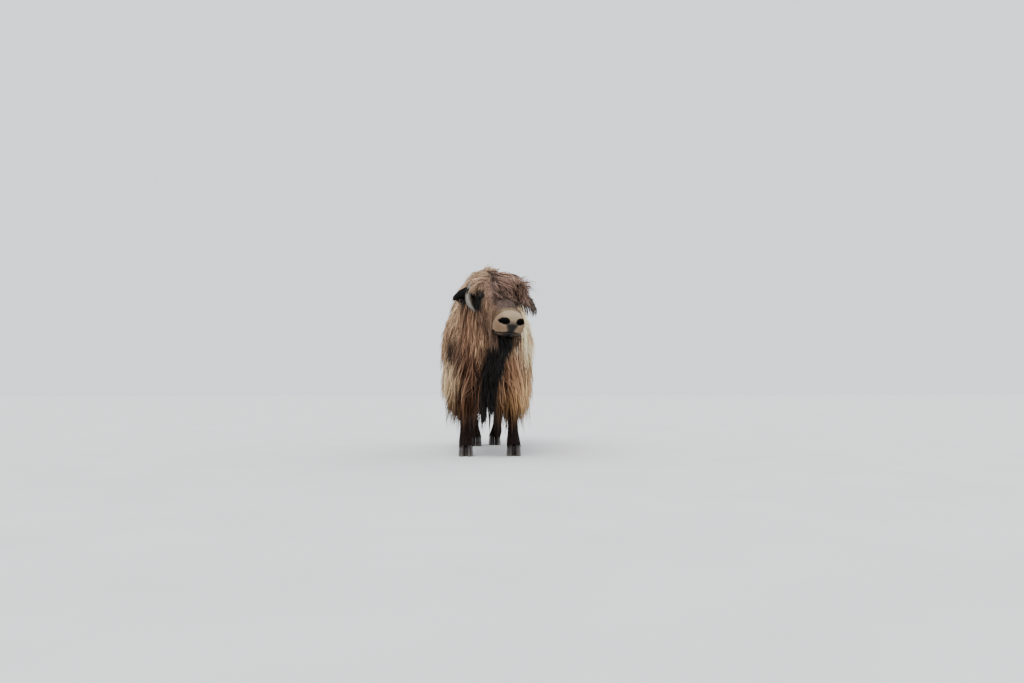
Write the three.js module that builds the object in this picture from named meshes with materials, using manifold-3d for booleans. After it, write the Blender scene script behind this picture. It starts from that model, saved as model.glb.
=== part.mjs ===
// A domestic yak bull, life size, standing still with its head turned to its left.
// Millimetres. X is the animal's left, Y its back, Z up. The floor is Z = 0.
import * as THREE from 'three';
import { mergeVertices } from 'three/addons/utils/BufferGeometryUtils.js';
import Module from 'manifold-3d';

const wasm = await Module();
wasm.setup();

// Driving dimensions of the animal.
const HUMP_HEIGHT = 1330;
const POLL = { x: 14, y: -446, z: 1154 };
const HEAD_PITCH = 36;
const HEAD_YAW = 21;
const HEAD_ROLL = 2.5;
const HEAD_LENGTH = 480;
const FLANK_HALF_WIDTH = 291;
const COAT_DEPTH = 74;
const SKIRT_DROP = 195;
const EYEBALL_RADIUS = 21;
const HORN_RADIUS = 24;
const HOOF_HEIGHT = 78;
const GAP = 0.35;

// How far the solid core fills the coat under the locks: 1 would reach their tips.
const CORE_SHARE = 0.34;

// A lock's breadth and its ridge, and how far every second one is lifted over its neighbours.
const LOCK_WIDTH = 124;
const LOCK_THICKNESS = 12;
const LOCK_LIFT = 15;
const LOCK_SEED = 11;

// The box of the finished animal is centred over the origin by this shift.
const CENTRE_SHIFT = { x: 0, y: -270 };

const RING_SIDES = 20;
const TRUNK_SIDES = 20;
const UP = new THREE.Vector3(0, 0, 1);
const vec = (x, y, z) => new THREE.Vector3(x, y, z);
const radians = THREE.MathUtils.degToRad;

// A value between the stations of a table, on a smooth curve through them.
function along(stations, key, at, by) {
  const last = stations.length - 1;
  let i = 0;
  while (i < last - 1 && at > stations[i + 1][by]) i += 1;
  const p = [i - 1, i, i + 1, i + 2].map((n) => stations[THREE.MathUtils.clamp(n, 0, last)]);
  const span = p[2][by] - p[1][by];
  const t = THREE.MathUtils.clamp((at - p[1][by]) / span, 0, 1);
  const slope = (a, b) => (b[by] === a[by] ? 0 : ((b[key] - a[key]) / (b[by] - a[by])) * span);
  const m1 = slope(p[0], p[2]);
  const m2 = slope(p[1], p[3]);
  const t2 = t * t;
  const t3 = t2 * t;
  return (
    (2 * t3 - 3 * t2 + 1) * p[1][key] + (t3 - 2 * t2 + t) * m1
    + (3 * t2 - 2 * t3) * p[2][key] + (t3 - t2) * m2
  );
}

// The point of a section at an angle from its right, its halves being superellipses.
function onSection({ centre, right, up, half, above, below, bulge = 2, keel = 2 }, angle) {
  const c = Math.cos(angle);
  const s = Math.sin(angle);
  const power = 2 / (s >= 0 ? bulge : keel);
  const across = Math.sign(c) * Math.abs(c) ** power * half;
  const rise = s >= 0 ? s ** power * above : -(Math.abs(s) ** power) * below;
  return centre.clone().addScaledVector(right, across).addScaledVector(up, rise);
}

function ring(section, sides = RING_SIDES) {
  const turns = Array.from({ length: sides }, (_, i) => (2 * Math.PI * i) / sides);
  return turns.map((angle) => onSection(section, angle));
}

// A closed skin over rings that run one after another, with a fan over each end.
function skinOver(rings) {
  const sides = rings[0].length;
  const positions = rings.flat().flatMap((p) => [p.x, p.y, p.z]);
  const index = [];
  for (let r = 0; r < rings.length - 1; r += 1) {
    for (let i = 0; i < sides; i += 1) {
      const a = r * sides + i;
      const b = r * sides + ((i + 1) % sides);
      index.push(a, b, b + sides, a, b + sides, a + sides);
    }
  }
  for (const [r, flip] of [[0, true], [rings.length - 1, false]]) {
    const middle = new THREE.Vector3();
    rings[r].forEach((p) => middle.add(p));
    middle.divideScalar(sides);
    const hub = positions.length / 3;
    positions.push(middle.x, middle.y, middle.z);
    for (let i = 0; i < sides; i += 1) {
      const a = r * sides + i;
      const b = r * sides + ((i + 1) % sides);
      index.push(...(flip ? [b, a, hub] : [a, b, hub]));
    }
  }
  const geometry = new THREE.BufferGeometry();
  geometry.setAttribute('position', new THREE.Float32BufferAttribute(positions, 3));
  geometry.setIndex(index);
  return geometry;
}

// A three.js geometry as a solid that can be joined and cut, whichever way its faces turn.
function solid(geometry) {
  const bare = geometry.clone();
  bare.deleteAttribute('normal');
  bare.deleteAttribute('uv');
  const merged = mergeVertices(bare, 1e-3);
  const corners = merged.index.array;
  const faces = [];
  for (let i = 0; i < corners.length; i += 3) {
    const face = [corners[i], corners[i + 1], corners[i + 2]];
    if (new Set(face).size === 3) faces.push(face);
  }
  const made = (order) => new wasm.Manifold(new wasm.Mesh({
    numProp: 3,
    vertProperties: merged.attributes.position.array,
    triVerts: new Uint32Array(order.flat()),
  }));
  const first = made(faces);
  return first.volume() > 0 ? first : made(faces.map(([a, b, c]) => [a, c, b]));
}

// The largest closed surface of a solid: scraps go, and sealed hollows are filled.
function largest(made) {
  const bodies = made.simplify(0.05).decompose();
  return bodies.reduce((best, body) => (body.volume() > best.volume() ? body : best));
}

function joined(solids) {
  return wasm.Manifold.union(solids);
}

// A round-sectioned limb along a smooth line through joints of given width and depth.
function limb(joints, grow = 0, steps = 12, sides = 16) {
  const line = new THREE.CatmullRomCurve3(joints.map((j) => j.at));
  const count = joints.length - 1;
  const table = joints.map((j, i) => ({ t: i / count, across: j.across, deep: j.deep }));
  const rings = [];
  for (let i = 0; i <= steps; i += 1) {
    const t = i / steps;
    const tangent = line.getTangent(t);
    const right = vec(1, 0, 0).addScaledVector(tangent, -tangent.x).normalize();
    const up = new THREE.Vector3().crossVectors(tangent, right).normalize();
    const deep = along(table, 'deep', t, 't') / 2 + grow;
    rings.push(ring({
      centre: line.getPoint(t),
      right,
      up,
      half: along(table, 'across', t, 't') / 2 + grow,
      above: deep,
      below: deep,
    }, sides));
  }
  return solid(skinOver(rings));
}

// A number from low to high, the same in every build for the same seed and turn.
let turnsDrawn = 0;
function draw(low, high) {
  turnsDrawn += 1;
  return THREE.MathUtils.lerp(low, high, THREE.MathUtils.seededRandom(LOCK_SEED + turnsDrawn * 7919));
}

// Where along a lock its sections stand, and how full it is there; the last is its tip.
const LOCK_PROFILE = [
  { t: 0, full: 0.7 },
  { t: 0.24, full: 1 },
  { t: 0.5, full: 0.96 },
  { t: 0.76, full: 0.66 },
  { t: 1, full: 0 },
];

// One lock: a flat blade with a ridge outside, bending along its line to a narrow tip.
function lockSolid({ line, across, width, thickness }, grow) {
  const rings = LOCK_PROFILE.map(({ t, full }, i) => {
    const before = line(LOCK_PROFILE[Math.max(i - 1, 0)].t);
    const after = line(LOCK_PROFILE[Math.min(i + 1, LOCK_PROFILE.length - 1)].t);
    const tangent = after.sub(before).normalize();
    const side = across(t).addScaledVector(tangent, -across(t).dot(tangent)).normalize();
    const out = new THREE.Vector3().crossVectors(tangent, side);
    const beyond = (t === 1 ? 2 * grow : 0) - (t === 0 ? 2 * grow : 0);
    const centre = line(t).addScaledVector(tangent, beyond);
    const half = (width * full) / 2 + 5 * grow;
    return [
      centre.clone().addScaledVector(side, half).addScaledVector(out, -grow),
      centre.clone().addScaledVector(out, thickness * full + 2 * grow),
      centre.clone().addScaledVector(side, -half).addScaledVector(out, -grow),
    ];
  });
  const positions = rings.flat().flatMap((p) => [p.x, p.y, p.z]);
  const last = 3 * (rings.length - 1);
  const index = [0, 2, 1, last, last + 1, last + 2];
  for (let a = 0; a < last; a += 3) {
    for (const [p, q] of [[0, 1], [1, 2], [2, 0]]) {
      index.push(a + p, a + q, a + q + 3, a + p, a + q + 3, a + p + 3);
    }
  }
  const geometry = new THREE.BufferGeometry();
  geometry.setAttribute('position', new THREE.Float32BufferAttribute(positions, 3));
  geometry.setIndex(index);
  return solid(geometry);
}

// A lock that lies on a surface: at gives the surface's point for a share of its length, and
// wave is where its sway begins, much alike in neighbours so that they flow together.
function lyingLock(at, across, wave, width = LOCK_WIDTH, thickness = LOCK_THICKNESS) {
  const sway = (t) => 0.09 * width * t * Math.sin(wave + 5 * t);
  const line = (t) => at(t).addScaledVector(across(t).normalize(), sway(t));
  return { line, across, width: width * draw(0.94, 1.06), thickness };
}

// A lock that leaves its root outwards and then hangs: reach is how far out it gets.
function hangingLock(root, outward, length, reach, wave, width, thickness = LOCK_THICKNESS) {
  const flat = new THREE.Vector3().crossVectors(UP, outward).normalize();
  const out = outward.clone().normalize();
  const at = (t) => root.clone()
    .addScaledVector(out, reach * Math.sin(Math.PI * THREE.MathUtils.clamp(t, 0, 1) * 0.62))
    .addScaledVector(UP, -length * Math.max(t, 0) ** 1.25);
  return lyingLock(at, () => flat.clone(), wave, width, thickness);
}

// The trunk, from the brisket back to the rump: the skin's outline at each station.
// coat is how much of the coat's depth lies there, skirt how much of its drop.
const W = FLANK_HALF_WIDTH;
const TRUNK = [
  { y: -262, top: 860, keel: 690, half: 0.28 * W, coat: 0.8, skirt: 0.45 },
  { y: -225, top: 985, keel: 615, half: 0.48 * W, coat: 1, skirt: 0.6 },
  { y: -140, top: 1130, keel: 550, half: 0.66 * W, coat: 1.1, skirt: 0.9 },
  { y: -20, top: 1275, keel: 520, half: 0.77 * W, coat: 1.15, skirt: 1 },
  { y: 100, top: HUMP_HEIGHT, keel: 515, half: 0.82 * W, coat: 1.15, skirt: 1 },
  { y: 230, top: HUMP_HEIGHT - 22, keel: 508, half: 0.87 * W, coat: 1.1, skirt: 1 },
  { y: 380, top: 1250, keel: 495, half: 0.94 * W, coat: 1, skirt: 1 },
  { y: 550, top: 1198, keel: 487, half: W, coat: 1, skirt: 0.97 },
  { y: 720, top: 1176, keel: 497, half: W, coat: 1, skirt: 0.95 },
  { y: 880, top: 1170, keel: 535, half: 0.95 * W, coat: 1, skirt: 1 },
  { y: 1010, top: 1164, keel: 585, half: 0.88 * W, coat: 1, skirt: 1.1 },
  { y: 1120, top: 1138, keel: 640, half: 0.76 * W, coat: 0.95, skirt: 1.1 },
  { y: 1200, top: 1085, keel: 720, half: 0.55 * W, coat: 0.85, skirt: 0.9 },
  { y: 1245, top: 1010, keel: 800, half: 0.26 * W, coat: 0.6, skirt: 0.5 },
];
const HUMP_SHARPNESS = 1.62;
const BACK_SHARPNESS = 2.05;
const WIDEST_SHARE = 0.42;

// The trunk's section at y, with the coat filled to a share of its depth.
function trunkSection(y, share, grow = 0) {
  const read = (key) => along(TRUNK, key, y, 'y');
  const top = read('top');
  const keel = read('keel');
  const depth = read('coat') * COAT_DEPTH * share;
  const widest = keel + (top - keel) * WIDEST_SHARE;
  const behindHump = THREE.MathUtils.smoothstep(y, 230, 620);
  return {
    centre: vec(0, y, widest),
    right: vec(1, 0, 0),
    up: UP,
    half: read('half') + depth + grow,
    above: top - widest + 0.45 * depth + grow,
    below: widest - keel + read('skirt') * SKIRT_DROP * share + grow,
    bulge: THREE.MathUtils.lerp(HUMP_SHARPNESS, BACK_SHARPNESS, behindHump),
    keel: 2.2 + 3.2 * share,
  };
}

function trunkCore(share, grow = 0) {
  const last = TRUNK.length - 1;
  return solid(skinOver(TRUNK.map(({ y }, i) => {
    const beyond = (i === last ? grow : 0) - (i === 0 ? grow : 0);
    return ring(trunkSection(y + beyond, share, grow), TRUNK_SIDES);
  })));
}

// A point of the full coat on the trunk: height runs from the skirt's hem, 0, to the ridge, 1,
// and share sinks it into the coat's depth.
function onTrunk(y, side, height, share) {
  const full = trunkSection(y, 1);
  const depth = along(TRUNK, 'coat', y, 'y') * COAT_DEPTH * (1 - share);
  const hem = full.centre.z - full.below;
  const z = hem + (full.above + full.below) * height;
  const rise = z - full.centre.z;
  const [reach, power] = rise > 0 ? [full.above, full.bulge] : [full.below, full.keel];
  const filled = THREE.MathUtils.clamp(Math.abs(rise) / reach, 0, 0.99);
  const out = full.half * (1 - filled ** power) ** (1 / power);
  const sink = rise > 0 ? 0.5 * depth * filled : 0;
  return vec(side * Math.max(out - depth, 0), y, z - sink);
}

// The tiers of the coat on each flank, from the back down to the skirt.
const FLANK_TIERS = [
  { from: 0.995, to: 0.62, first: -90, last: 1130, count: 11 },
  { from: 0.76, to: 0.38, first: -150, last: 1150, count: 11 },
  { from: 0.52, to: 0.16, first: -190, last: 1160, count: 11 },
  { from: 0.32, to: -0.05, first: -190, last: 1105, count: 11 },
];

// How deep in the coat a lock lies at a share of its length: it leaves the core early and
// rises to the coat's face, every second one a lift higher than its neighbours.
function lie(t, i) {
  const lift = (i % 2) * (LOCK_LIFT / COAT_DEPTH) * Math.min(1, 4 * Math.max(t, 0));
  return 0.82 * Math.sqrt(Math.max(t, 0)) + lift;
}

function trunkLocks() {
  const locks = [];
  FLANK_TIERS.forEach(({ from, to, first, last, count }, tier) => {
    for (const side of [1, -1]) {
      for (let i = 0; i < count; i += 1) {
        const start = THREE.MathUtils.lerp(first, last, (i + 0.5 * (tier % 2)) / count);
        const end = to + draw(-0.03, 0.03);
        const spot = (t, y) => {
          const fallen = t ** (tier === 0 ? 1.5 : 1);
          return onTrunk(y + 42 * t, side, THREE.MathUtils.lerp(from, end, fallen), lie(t, i));
        };
        const at = (t) => spot(t, start);
        const across = (t) => spot(t, start + 20).sub(spot(t, start - 20)).multiplyScalar(side);
        locks.push(lyingLock(at, across, 0.005 * start + 2 * tier));
      }
    }
  });
  for (let i = 0; i < 6; i += 1) {
    const sideways = THREE.MathUtils.lerp(-1, 1, i / 5);
    const root = vec(165 * sideways, 1222 - 70 * sideways ** 2, 940 - 50 * (i % 2));
    const outward = vec(0.7 * sideways, 1, 0);
    locks.push(hangingLock(root, outward, 420 + draw(-30, 50), 40 + LOCK_LIFT * (i % 2), i, 90));
  }
  for (const side of [1, -1]) {
    for (let i = 0; i < 3; i += 1) {
      const root = vec(side * (85 + 46 * i), -236 + 18 * i, 800 - 30 * (i % 2));
      const outward = vec(side * 0.5, -1, 0);
      locks.push(hangingLock(root, outward, 440 + draw(-30, 40), 44 + LOCK_LIFT * (i % 2), i, 84));
    }
  }
  for (let i = 0; i < 7; i += 1) {
    const start = -40 + 165 * i;
    const rise = i === 0 ? 58 : 26;
    const ridge = (y) => trunkSection(y, CORE_SHARE).above + trunkSection(y, 0).centre.z;
    const at = (t) => vec(0, start + 190 * t, ridge(start + 190 * t) - 20 + rise * Math.min(t + 0.1, 0.8));
    locks.push(lyingLock(at, () => vec(-1, 0, 0), 2 * i, i === 0 ? 60 : 104));
  }
  return locks;
}

// The neck, from inside the shoulders to the back of the skull.
const NECK = [
  { at: vec(0, 150, 950), half: 185, above: 335, below: 300, coat: 1 },
  { at: vec(0, -20, 965), half: 182, above: 312, below: 310, coat: 1 },
  { at: vec(3, -170, 1000), half: 160, above: 258, below: 270, coat: 1 },
  { at: vec(8, -290, 1045), half: 132, above: 196, below: 205, coat: 0.9 },
  { at: vec(13, -385, 1085), half: 110, above: 140, below: 150, coat: 0.7 },
  { at: vec(18, -455, 1115), half: 84, above: 84, below: 92, coat: 0.4 },
];

const neckLine = new THREE.CatmullRomCurve3(NECK.map((s) => s.at));
const neckTable = NECK.map((s, i) => ({ ...s, t: i / (NECK.length - 1) }));

// The neck's section at a share of its length, with the coat filled to a share of its depth.
function neckSection(place, share, grow = 0) {
  const t = THREE.MathUtils.clamp(place, 0, 1);
  const tangent = neckLine.getTangent(t);
  const right = vec(1, 0, 0).addScaledVector(tangent, -tangent.x).normalize();
  const depth = along(neckTable, 'coat', t, 't') * COAT_DEPTH * share;
  return {
    centre: neckLine.getPoint(t),
    right,
    up: new THREE.Vector3().crossVectors(tangent, right),
    half: along(neckTable, 'half', t, 't') + depth + grow,
    above: along(neckTable, 'above', t, 't') + 0.5 * depth + grow,
    below: along(neckTable, 'below', t, 't') + depth + grow,
    bulge: 1.8,
    keel: 1.9,
  };
}

function neckCore(share, grow = 0) {
  const steps = 6;
  const rings = [];
  for (let i = 0; i <= steps; i += 1) {
    rings.push(ring(neckSection(i / steps, share, grow), 14));
  }
  return solid(skinOver(rings));
}

// The tiers of the neck's coat, as angles above the neck's side line.
const NECK_TIERS = [
  { from: 88, to: 30, first: 0.42, last: 0.96, count: 3 },
  { from: 46, to: -8, first: 0.42, last: 0.98, count: 3 },
  { from: 8, to: -52, first: 0.46, last: 0.98, count: 4 },
];

function neckLocks() {
  const locks = [];
  NECK_TIERS.forEach(({ from, to, first, last, count }, tier) => {
    for (const side of [1, -1]) {
      for (let i = 0; i < count; i += 1) {
        const start = THREE.MathUtils.lerp(first, last, (i + 0.3 * (tier % 2)) / count);
        const spot = (t, place) => {
          const turn = THREE.MathUtils.lerp(from, to, t ** (tier === 0 ? 1.5 : 1));
          const section = neckSection(place - 0.1 * t, lie(t, i));
          return onSection(section, radians(side > 0 ? turn : 180 - turn));
        };
        const at = (t) => spot(t, start).addScaledVector(UP, -30 * t * t);
        const across = (t) => spot(t, start - 0.03).sub(spot(t, start + 0.03)).multiplyScalar(side);
        locks.push(lyingLock(at, across, start * 5 + tier, 96));
      }
    }
  });
  return locks;
}

// The head has its own frame: -Y runs down the face to the muzzle, X is its left, Z its crown.
const headPlace = new THREE.Matrix4().compose(
  vec(POLL.x, POLL.y, POLL.z),
  new THREE.Quaternion().setFromEuler(
    new THREE.Euler(radians(HEAD_PITCH), radians(HEAD_ROLL), radians(HEAD_YAW), 'ZXY'),
  ),
  vec(1, 1, 1),
);

// A point of the head by its distance down the face, out to the left and up from the axis.
const onHead = (down, left, rise) => vec(left, -down, rise).applyMatrix4(headPlace);

const L = HEAD_LENGTH;
const SKULL = [
  { down: -0.09 * L, half: 62, above: 50, below: 72, cheek: 2 },
  { down: -0.03 * L, half: 88, above: 70, below: 104, cheek: 2.1 },
  { down: 0.06 * L, half: 106, above: 84, below: 128, cheek: 2.2 },
  { down: 0.16 * L, half: 114, above: 88, below: 142, cheek: 2.3 },
  { down: 0.28 * L, half: 115, above: 86, below: 150, cheek: 2.3 },
  { down: 0.38 * L, half: 106, above: 78, below: 146, cheek: 2.2 },
  { down: 0.5 * L, half: 88, above: 68, below: 132, cheek: 2.1 },
  { down: 0.62 * L, half: 78, above: 58, below: 120, cheek: 2.1 },
  { down: 0.74 * L, half: 80, above: 50, below: 116, cheek: 2.2 },
  { down: 0.85 * L, half: 90, above: 45, below: 120, cheek: 2.5 },
  { down: 0.93 * L, half: 92, above: 40, below: 120, cheek: 2.6 },
  { down: 0.975 * L, half: 82, above: 30, below: 106, cheek: 2.5 },
  { down: L, half: 58, above: 12, below: 82, cheek: 2.2 },
];

function skullCore(grow = 0, steps = 17) {
  const rings = [];
  const first = SKULL[0].down;
  for (let i = 0; i <= steps; i += 1) {
    const down = THREE.MathUtils.lerp(first, L, i / steps);
    const end = (i === steps ? grow : 0) - (i === 0 ? grow : 0);
    const read = (key) => along(SKULL, key, down, 'down');
    rings.push(ring({
      centre: onHead(down + end, 0, 0),
      right: onHead(down, 1, 0).sub(onHead(down, 0, 0)),
      up: onHead(down, 0, 1).sub(onHead(down, 0, 0)),
      half: read('half') + grow,
      above: read('above') + grow,
      below: read('below') + grow,
      bulge: read('cheek'),
      keel: read('cheek'),
    }, 16));
  }
  return solid(skinOver(rings));
}

function ball(radius, centre, stretch = vec(1, 1, 1), turn = new THREE.Quaternion(), sides = 10) {
  const geometry = new THREE.SphereGeometry(radius, sides, Math.round(0.7 * sides));
  geometry.applyMatrix4(new THREE.Matrix4().compose(centre, turn, stretch));
  return solid(geometry);
}

const headTurn = new THREE.Quaternion().setFromRotationMatrix(headPlace);

// Where the eye sits in the skull, and which way it looks.
const EYE = { down: 0.35 * L, out: 101, rise: 5 };
const eyeCentre = (side) => onHead(EYE.down, side * EYE.out, EYE.rise);

function eyeball(side, grow = 0) {
  return ball(EYEBALL_RADIUS + grow, eyeCentre(side));
}

// Two lids as one shell round the eyeball, open in an almond.
function lids(side) {
  const outward = eyeCentre(side).sub(onHead(EYE.down, 0, 12)).normalize();
  const shell = ball(EYEBALL_RADIUS + 6, eyeCentre(side).addScaledVector(outward, -1), vec(1, 1, 1), headTurn, 8);
  const turn = new THREE.Quaternion().setFromUnitVectors(vec(1, 0, 0), outward);
  const opening = ball(19, eyeCentre(side).addScaledVector(outward, 24), vec(1.1, 1, 0.66), turn, 8);
  return shell.subtract(opening);
}

// Locks over the brow, in tiers from the poll to the bridge of the nose.
const FORELOCK_TIERS = [
  { root: -18, tip: 150, spread: 108, count: 5 },
  { root: 62, tip: 250, spread: 102, count: 5 },
  { root: 140, tip: 330, spread: 66, count: 4 },
];

function headLocks() {
  const locks = [];
  const leftward = onHead(0, 1, 0).sub(onHead(0, 0, 0));
  FORELOCK_TIERS.forEach(({ root, tip, spread, count }, tier) => {
    for (let i = 0; i < count; i += 1) {
      const sideways = THREE.MathUtils.lerp(-1, 1, i / (count - 1));
      const lift = 10 * (i % 2);
      const at = (t) => {
        const down = THREE.MathUtils.lerp(root, tip, t) - 22 * sideways ** 2 * t;
        const left = sideways * spread * (0.8 + 0.2 * Math.min(1, 2 * t)) + 30 * t;
        const roof = along(SKULL, 'above', down, 'down');
        const half = along(SKULL, 'half', down, 'down');
        const dome = roof * Math.sqrt(Math.max(0, 1 - (0.84 * left / half) ** 2));
        const swell = THREE.MathUtils.lerp(-14, 30, t) + lift * Math.min(1, 4 * Math.max(0, t));
        return onHead(down, left + 11 * Math.sin(7 * t + 0.4 * i), dome + swell);
      };
      locks.push(lyingLock(at, () => leftward.clone(), 0.4 * i, 54, 11));
    }
  });
  for (const side of [1, -1]) {
    for (let i = 0; i < 4; i += 1) {
      const root = onHead(120 + 58 * i, side * (82 - 11 * i), -92);
      const outward = leftward.clone().multiplyScalar(side);
      locks.push(hangingLock(root, outward, 190 - 16 * i, 24 + 13 * (i % 2), i, 58, 10));
    }
  }
  for (let i = 0; i < 4; i += 1) {
    const root = onHead(300 + 36 * i, 10 * (i % 2), -94);
    const outward = onHead(1, 0, 0).sub(onHead(0, 0, 0));
    locks.push(hangingLock(root, outward, 140 + 16 * i, 10, i, 58, 10));
  }
  return locks;
}

// The groove between the lips, a band round the muzzle that rises to its corners.
const LIP_LINE = -74;
function mouthGroove() {
  const slab = new THREE.BoxGeometry(260, 150, 5);
  slab.translate(0, -0.98 * L, LIP_LINE);
  slab.applyMatrix4(headPlace);
  return solid(slab).subtract(skullCore(-11, 14));
}

// A nostril: a comma-shaped pit in the front of the muzzle.
function nostril(side) {
  const turn = headTurn.clone().multiply(
    new THREE.Quaternion().setFromEuler(new THREE.Euler(0, side * radians(24), 0)),
  );
  const pit = ball(23, onHead(0.975 * L, side * 44, 2), vec(1.15, 1.1, 0.9), turn);
  const slit = ball(12, onHead(0.955 * L, side * 70, 8), vec(1.3, 1, 0.6), turn, 6);
  return pit.add(slit);
}

// A horn grows out of the side of the poll and droops forward past the cheek.
function horn(side, grow = 0) {
  const line = [
    [20, 55, 44], [26, 95, 34], [38, 130, 4], [66, 154, -42], [112, 162, -78], [160, 152, -96],
    [200, 132, -106],
  ].map(([down, left, rise]) => onHead(down, side * left, rise));
  const curve = new THREE.CatmullRomCurve3(line);
  const steps = 10;
  const rings = [];
  let right = vec(0, 0, 1);
  for (let i = 0; i <= steps; i += 1) {
    const t = i / steps;
    const tangent = curve.getTangentAt(t);
    right = right.clone().addScaledVector(tangent, -right.dot(tangent)).normalize();
    const radius = HORN_RADIUS * (1.06 - 0.3 * t) * (1 - t ** 7 * 0.82) + grow;
    rings.push(ring({
      centre: curve.getPointAt(t),
      right,
      up: new THREE.Vector3().crossVectors(tangent, right),
      half: radius,
      above: radius,
      below: radius,
    }, 8));
  }
  return solid(skinOver(rings));
}

// Each ear runs from its root to its tip, both given on the head's left side.
const EAR_ROOT = { down: 34, out: 92, rise: -16 };
const EAR_TIPS = {
  left: { down: 104, out: 288, rise: -62 },
  right: { down: 30, out: 232, rise: -112 },
};

// An ear: a leaf that droops sideways, hollowed on its front.
function ear(name, side, grow = 0) {
  const place = ({ down, out, rise }) => onHead(down, side * out, rise);
  const root = place(EAR_ROOT);
  const tip = place(EAR_TIPS[name]);
  const line = tip.clone().sub(root);
  const along1 = line.clone().normalize();
  const face = onHead(1, 0, -0.55).sub(onHead(0, 0, 0));
  const thick = face.addScaledVector(along1, -face.dot(along1)).normalize();
  const wide = new THREE.Vector3().crossVectors(thick, along1).normalize();
  const leaf = (scale, forward, swell) => {
    const widths = [20, 34, 44, 44, 31, 4];
    return solid(skinOver(widths.map((width, i) => {
      const t = i / (widths.length - 1);
      const bow = 9 + 10 * Math.sin(Math.PI * t);
      return ring({
        centre: root.clone().addScaledVector(line, t * scale).addScaledVector(thick, forward),
        right: wide,
        up: thick,
        half: width * scale + swell,
        above: bow * scale + swell,
        below: bow * scale + swell,
      }, 8);
    })));
  };
  return leaf(1, 0, grow).subtract(leaf(0.86, 15, -grow));
}

// Where each hoof stands, and the bend of each leg above it.
const LEGS = {
  front_left: { x: 186, y: 10, fore: true },
  front_right: { x: -150, y: -10, fore: true },
  hind_left: { x: 62, y: 1060, fore: false },
  hind_right: { x: -98, y: 960, fore: false },
};

// The joints of a leg from the body down, as centre, width and depth.
function legJoints({ x, y, fore }) {
  const side = Math.sign(x);
  const root = fore ? side * 168 : side * 150;
  const lean = (z, top) => THREE.MathUtils.lerp(x, root, THREE.MathUtils.clamp(z / top, 0, 1));
  if (fore) {
    return [
      { at: vec(lean(620, 620), 60, 620), across: 165, deep: 230 },
      { at: vec(lean(500, 620), 40, 500), across: 140, deep: 180 },
      { at: vec(lean(400, 620), y + 6, 400), across: 108, deep: 118 },
      { at: vec(lean(330, 620), y, 330), across: 98, deep: 102 },
      { at: vec(lean(250, 620), y + 8, 250), across: 72, deep: 76 },
      { at: vec(lean(170, 620), y + 8, 170), across: 74, deep: 80 },
      { at: vec(lean(115, 620), y + 2, 115), across: 90, deep: 96 },
      { at: vec(x, y - 12, HOOF_HEIGHT - 6), across: 96, deep: 104 },
    ];
  }
  return [
    { at: vec(lean(700, 700), y - 110, 700), across: 180, deep: 330 },
    { at: vec(lean(560, 700), y - 60, 560), across: 140, deep: 210 },
    { at: vec(lean(455, 700), y + 40, 455), across: 92, deep: 130 },
    { at: vec(lean(385, 700), y + 62, 385), across: 80, deep: 106 },
    { at: vec(lean(280, 700), y + 40, 280), across: 70, deep: 80 },
    { at: vec(lean(180, 700), y + 18, 180), across: 72, deep: 80 },
    { at: vec(lean(120, 700), y + 4, 120), across: 88, deep: 96 },
    { at: vec(x, y - 12, HOOF_HEIGHT - 6), across: 94, deep: 102 },
  ];
}

// The long hair of the upper legs, which ends above the knee in front and at the hock behind.
function legLocks(leg) {
  const [, , mid] = legJoints(leg);
  const locks = [];
  const count = 4;
  for (let i = 0; i < count; i += 1) {
    const angle = radians((leg.fore ? -135 : -30) + (leg.fore ? 90 : 80) * i);
    const outward = vec(Math.cos(angle), Math.sin(angle), 0);
    const root = vec(mid.at.x, mid.at.y, leg.fore ? 400 : 470)
      .addScaledVector(outward, (leg.fore ? 0.3 : 0.36) * mid.across);
    const length = leg.fore ? 165 : 170;
    locks.push(hangingLock(root, outward, length + draw(-12, 18), 30 + 12 * (i % 2), i, 74));
  }
  return locks;
}

// Everything between two heights, to part a leg into its lengths.
function between(low, high) {
  const block = new THREE.BoxGeometry(1200, 3000, high - low);
  block.translate(0, 500, (low + high) / 2);
  return solid(block);
}

// Two claws that spread a little, flat underneath.
function hoof({ x, y }, grow = 0) {
  const claws = [-1, 1].map((side) => {
    const rings = [0, 0.4, 1].map((t) => ring({
      centre: vec(x + side * (26 - 3 * t), y - 16 + 22 * t, HOOF_HEIGHT * t),
      right: vec(1, 0, 0),
      up: vec(0, 1, 0),
      half: 27 - 3 * t + grow,
      above: 54 - 8 * t + grow,
      below: 66 - 16 * t + grow,
      bulge: 2.6,
    }, 12));
    return solid(skinOver(rings));
  });
  return joined(claws);
}

// The tail: a dock that hangs from the croup, inside a long switch of hair.
function tailCore(share, grow = 0) {
  const joints = [
    { at: vec(0, 1195, 1075), across: 90, deep: 80 },
    { at: vec(0, 1262, 1020), across: 92, deep: 84 },
    { at: vec(-2, 1300, 900), across: 110, deep: 96 },
    { at: vec(-6, 1312, 740), across: 150, deep: 116 },
    { at: vec(-10, 1312, 580), across: 176, deep: 124 },
    { at: vec(-12, 1306, 440), across: 150, deep: 108 },
    { at: vec(-12, 1300, 330), across: 70, deep: 60 },
  ];
  const kept = joints.map((j) => ({ ...j, across: j.across * share, deep: j.deep * share }));
  return limb(kept, grow, 7, 9);
}

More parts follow.
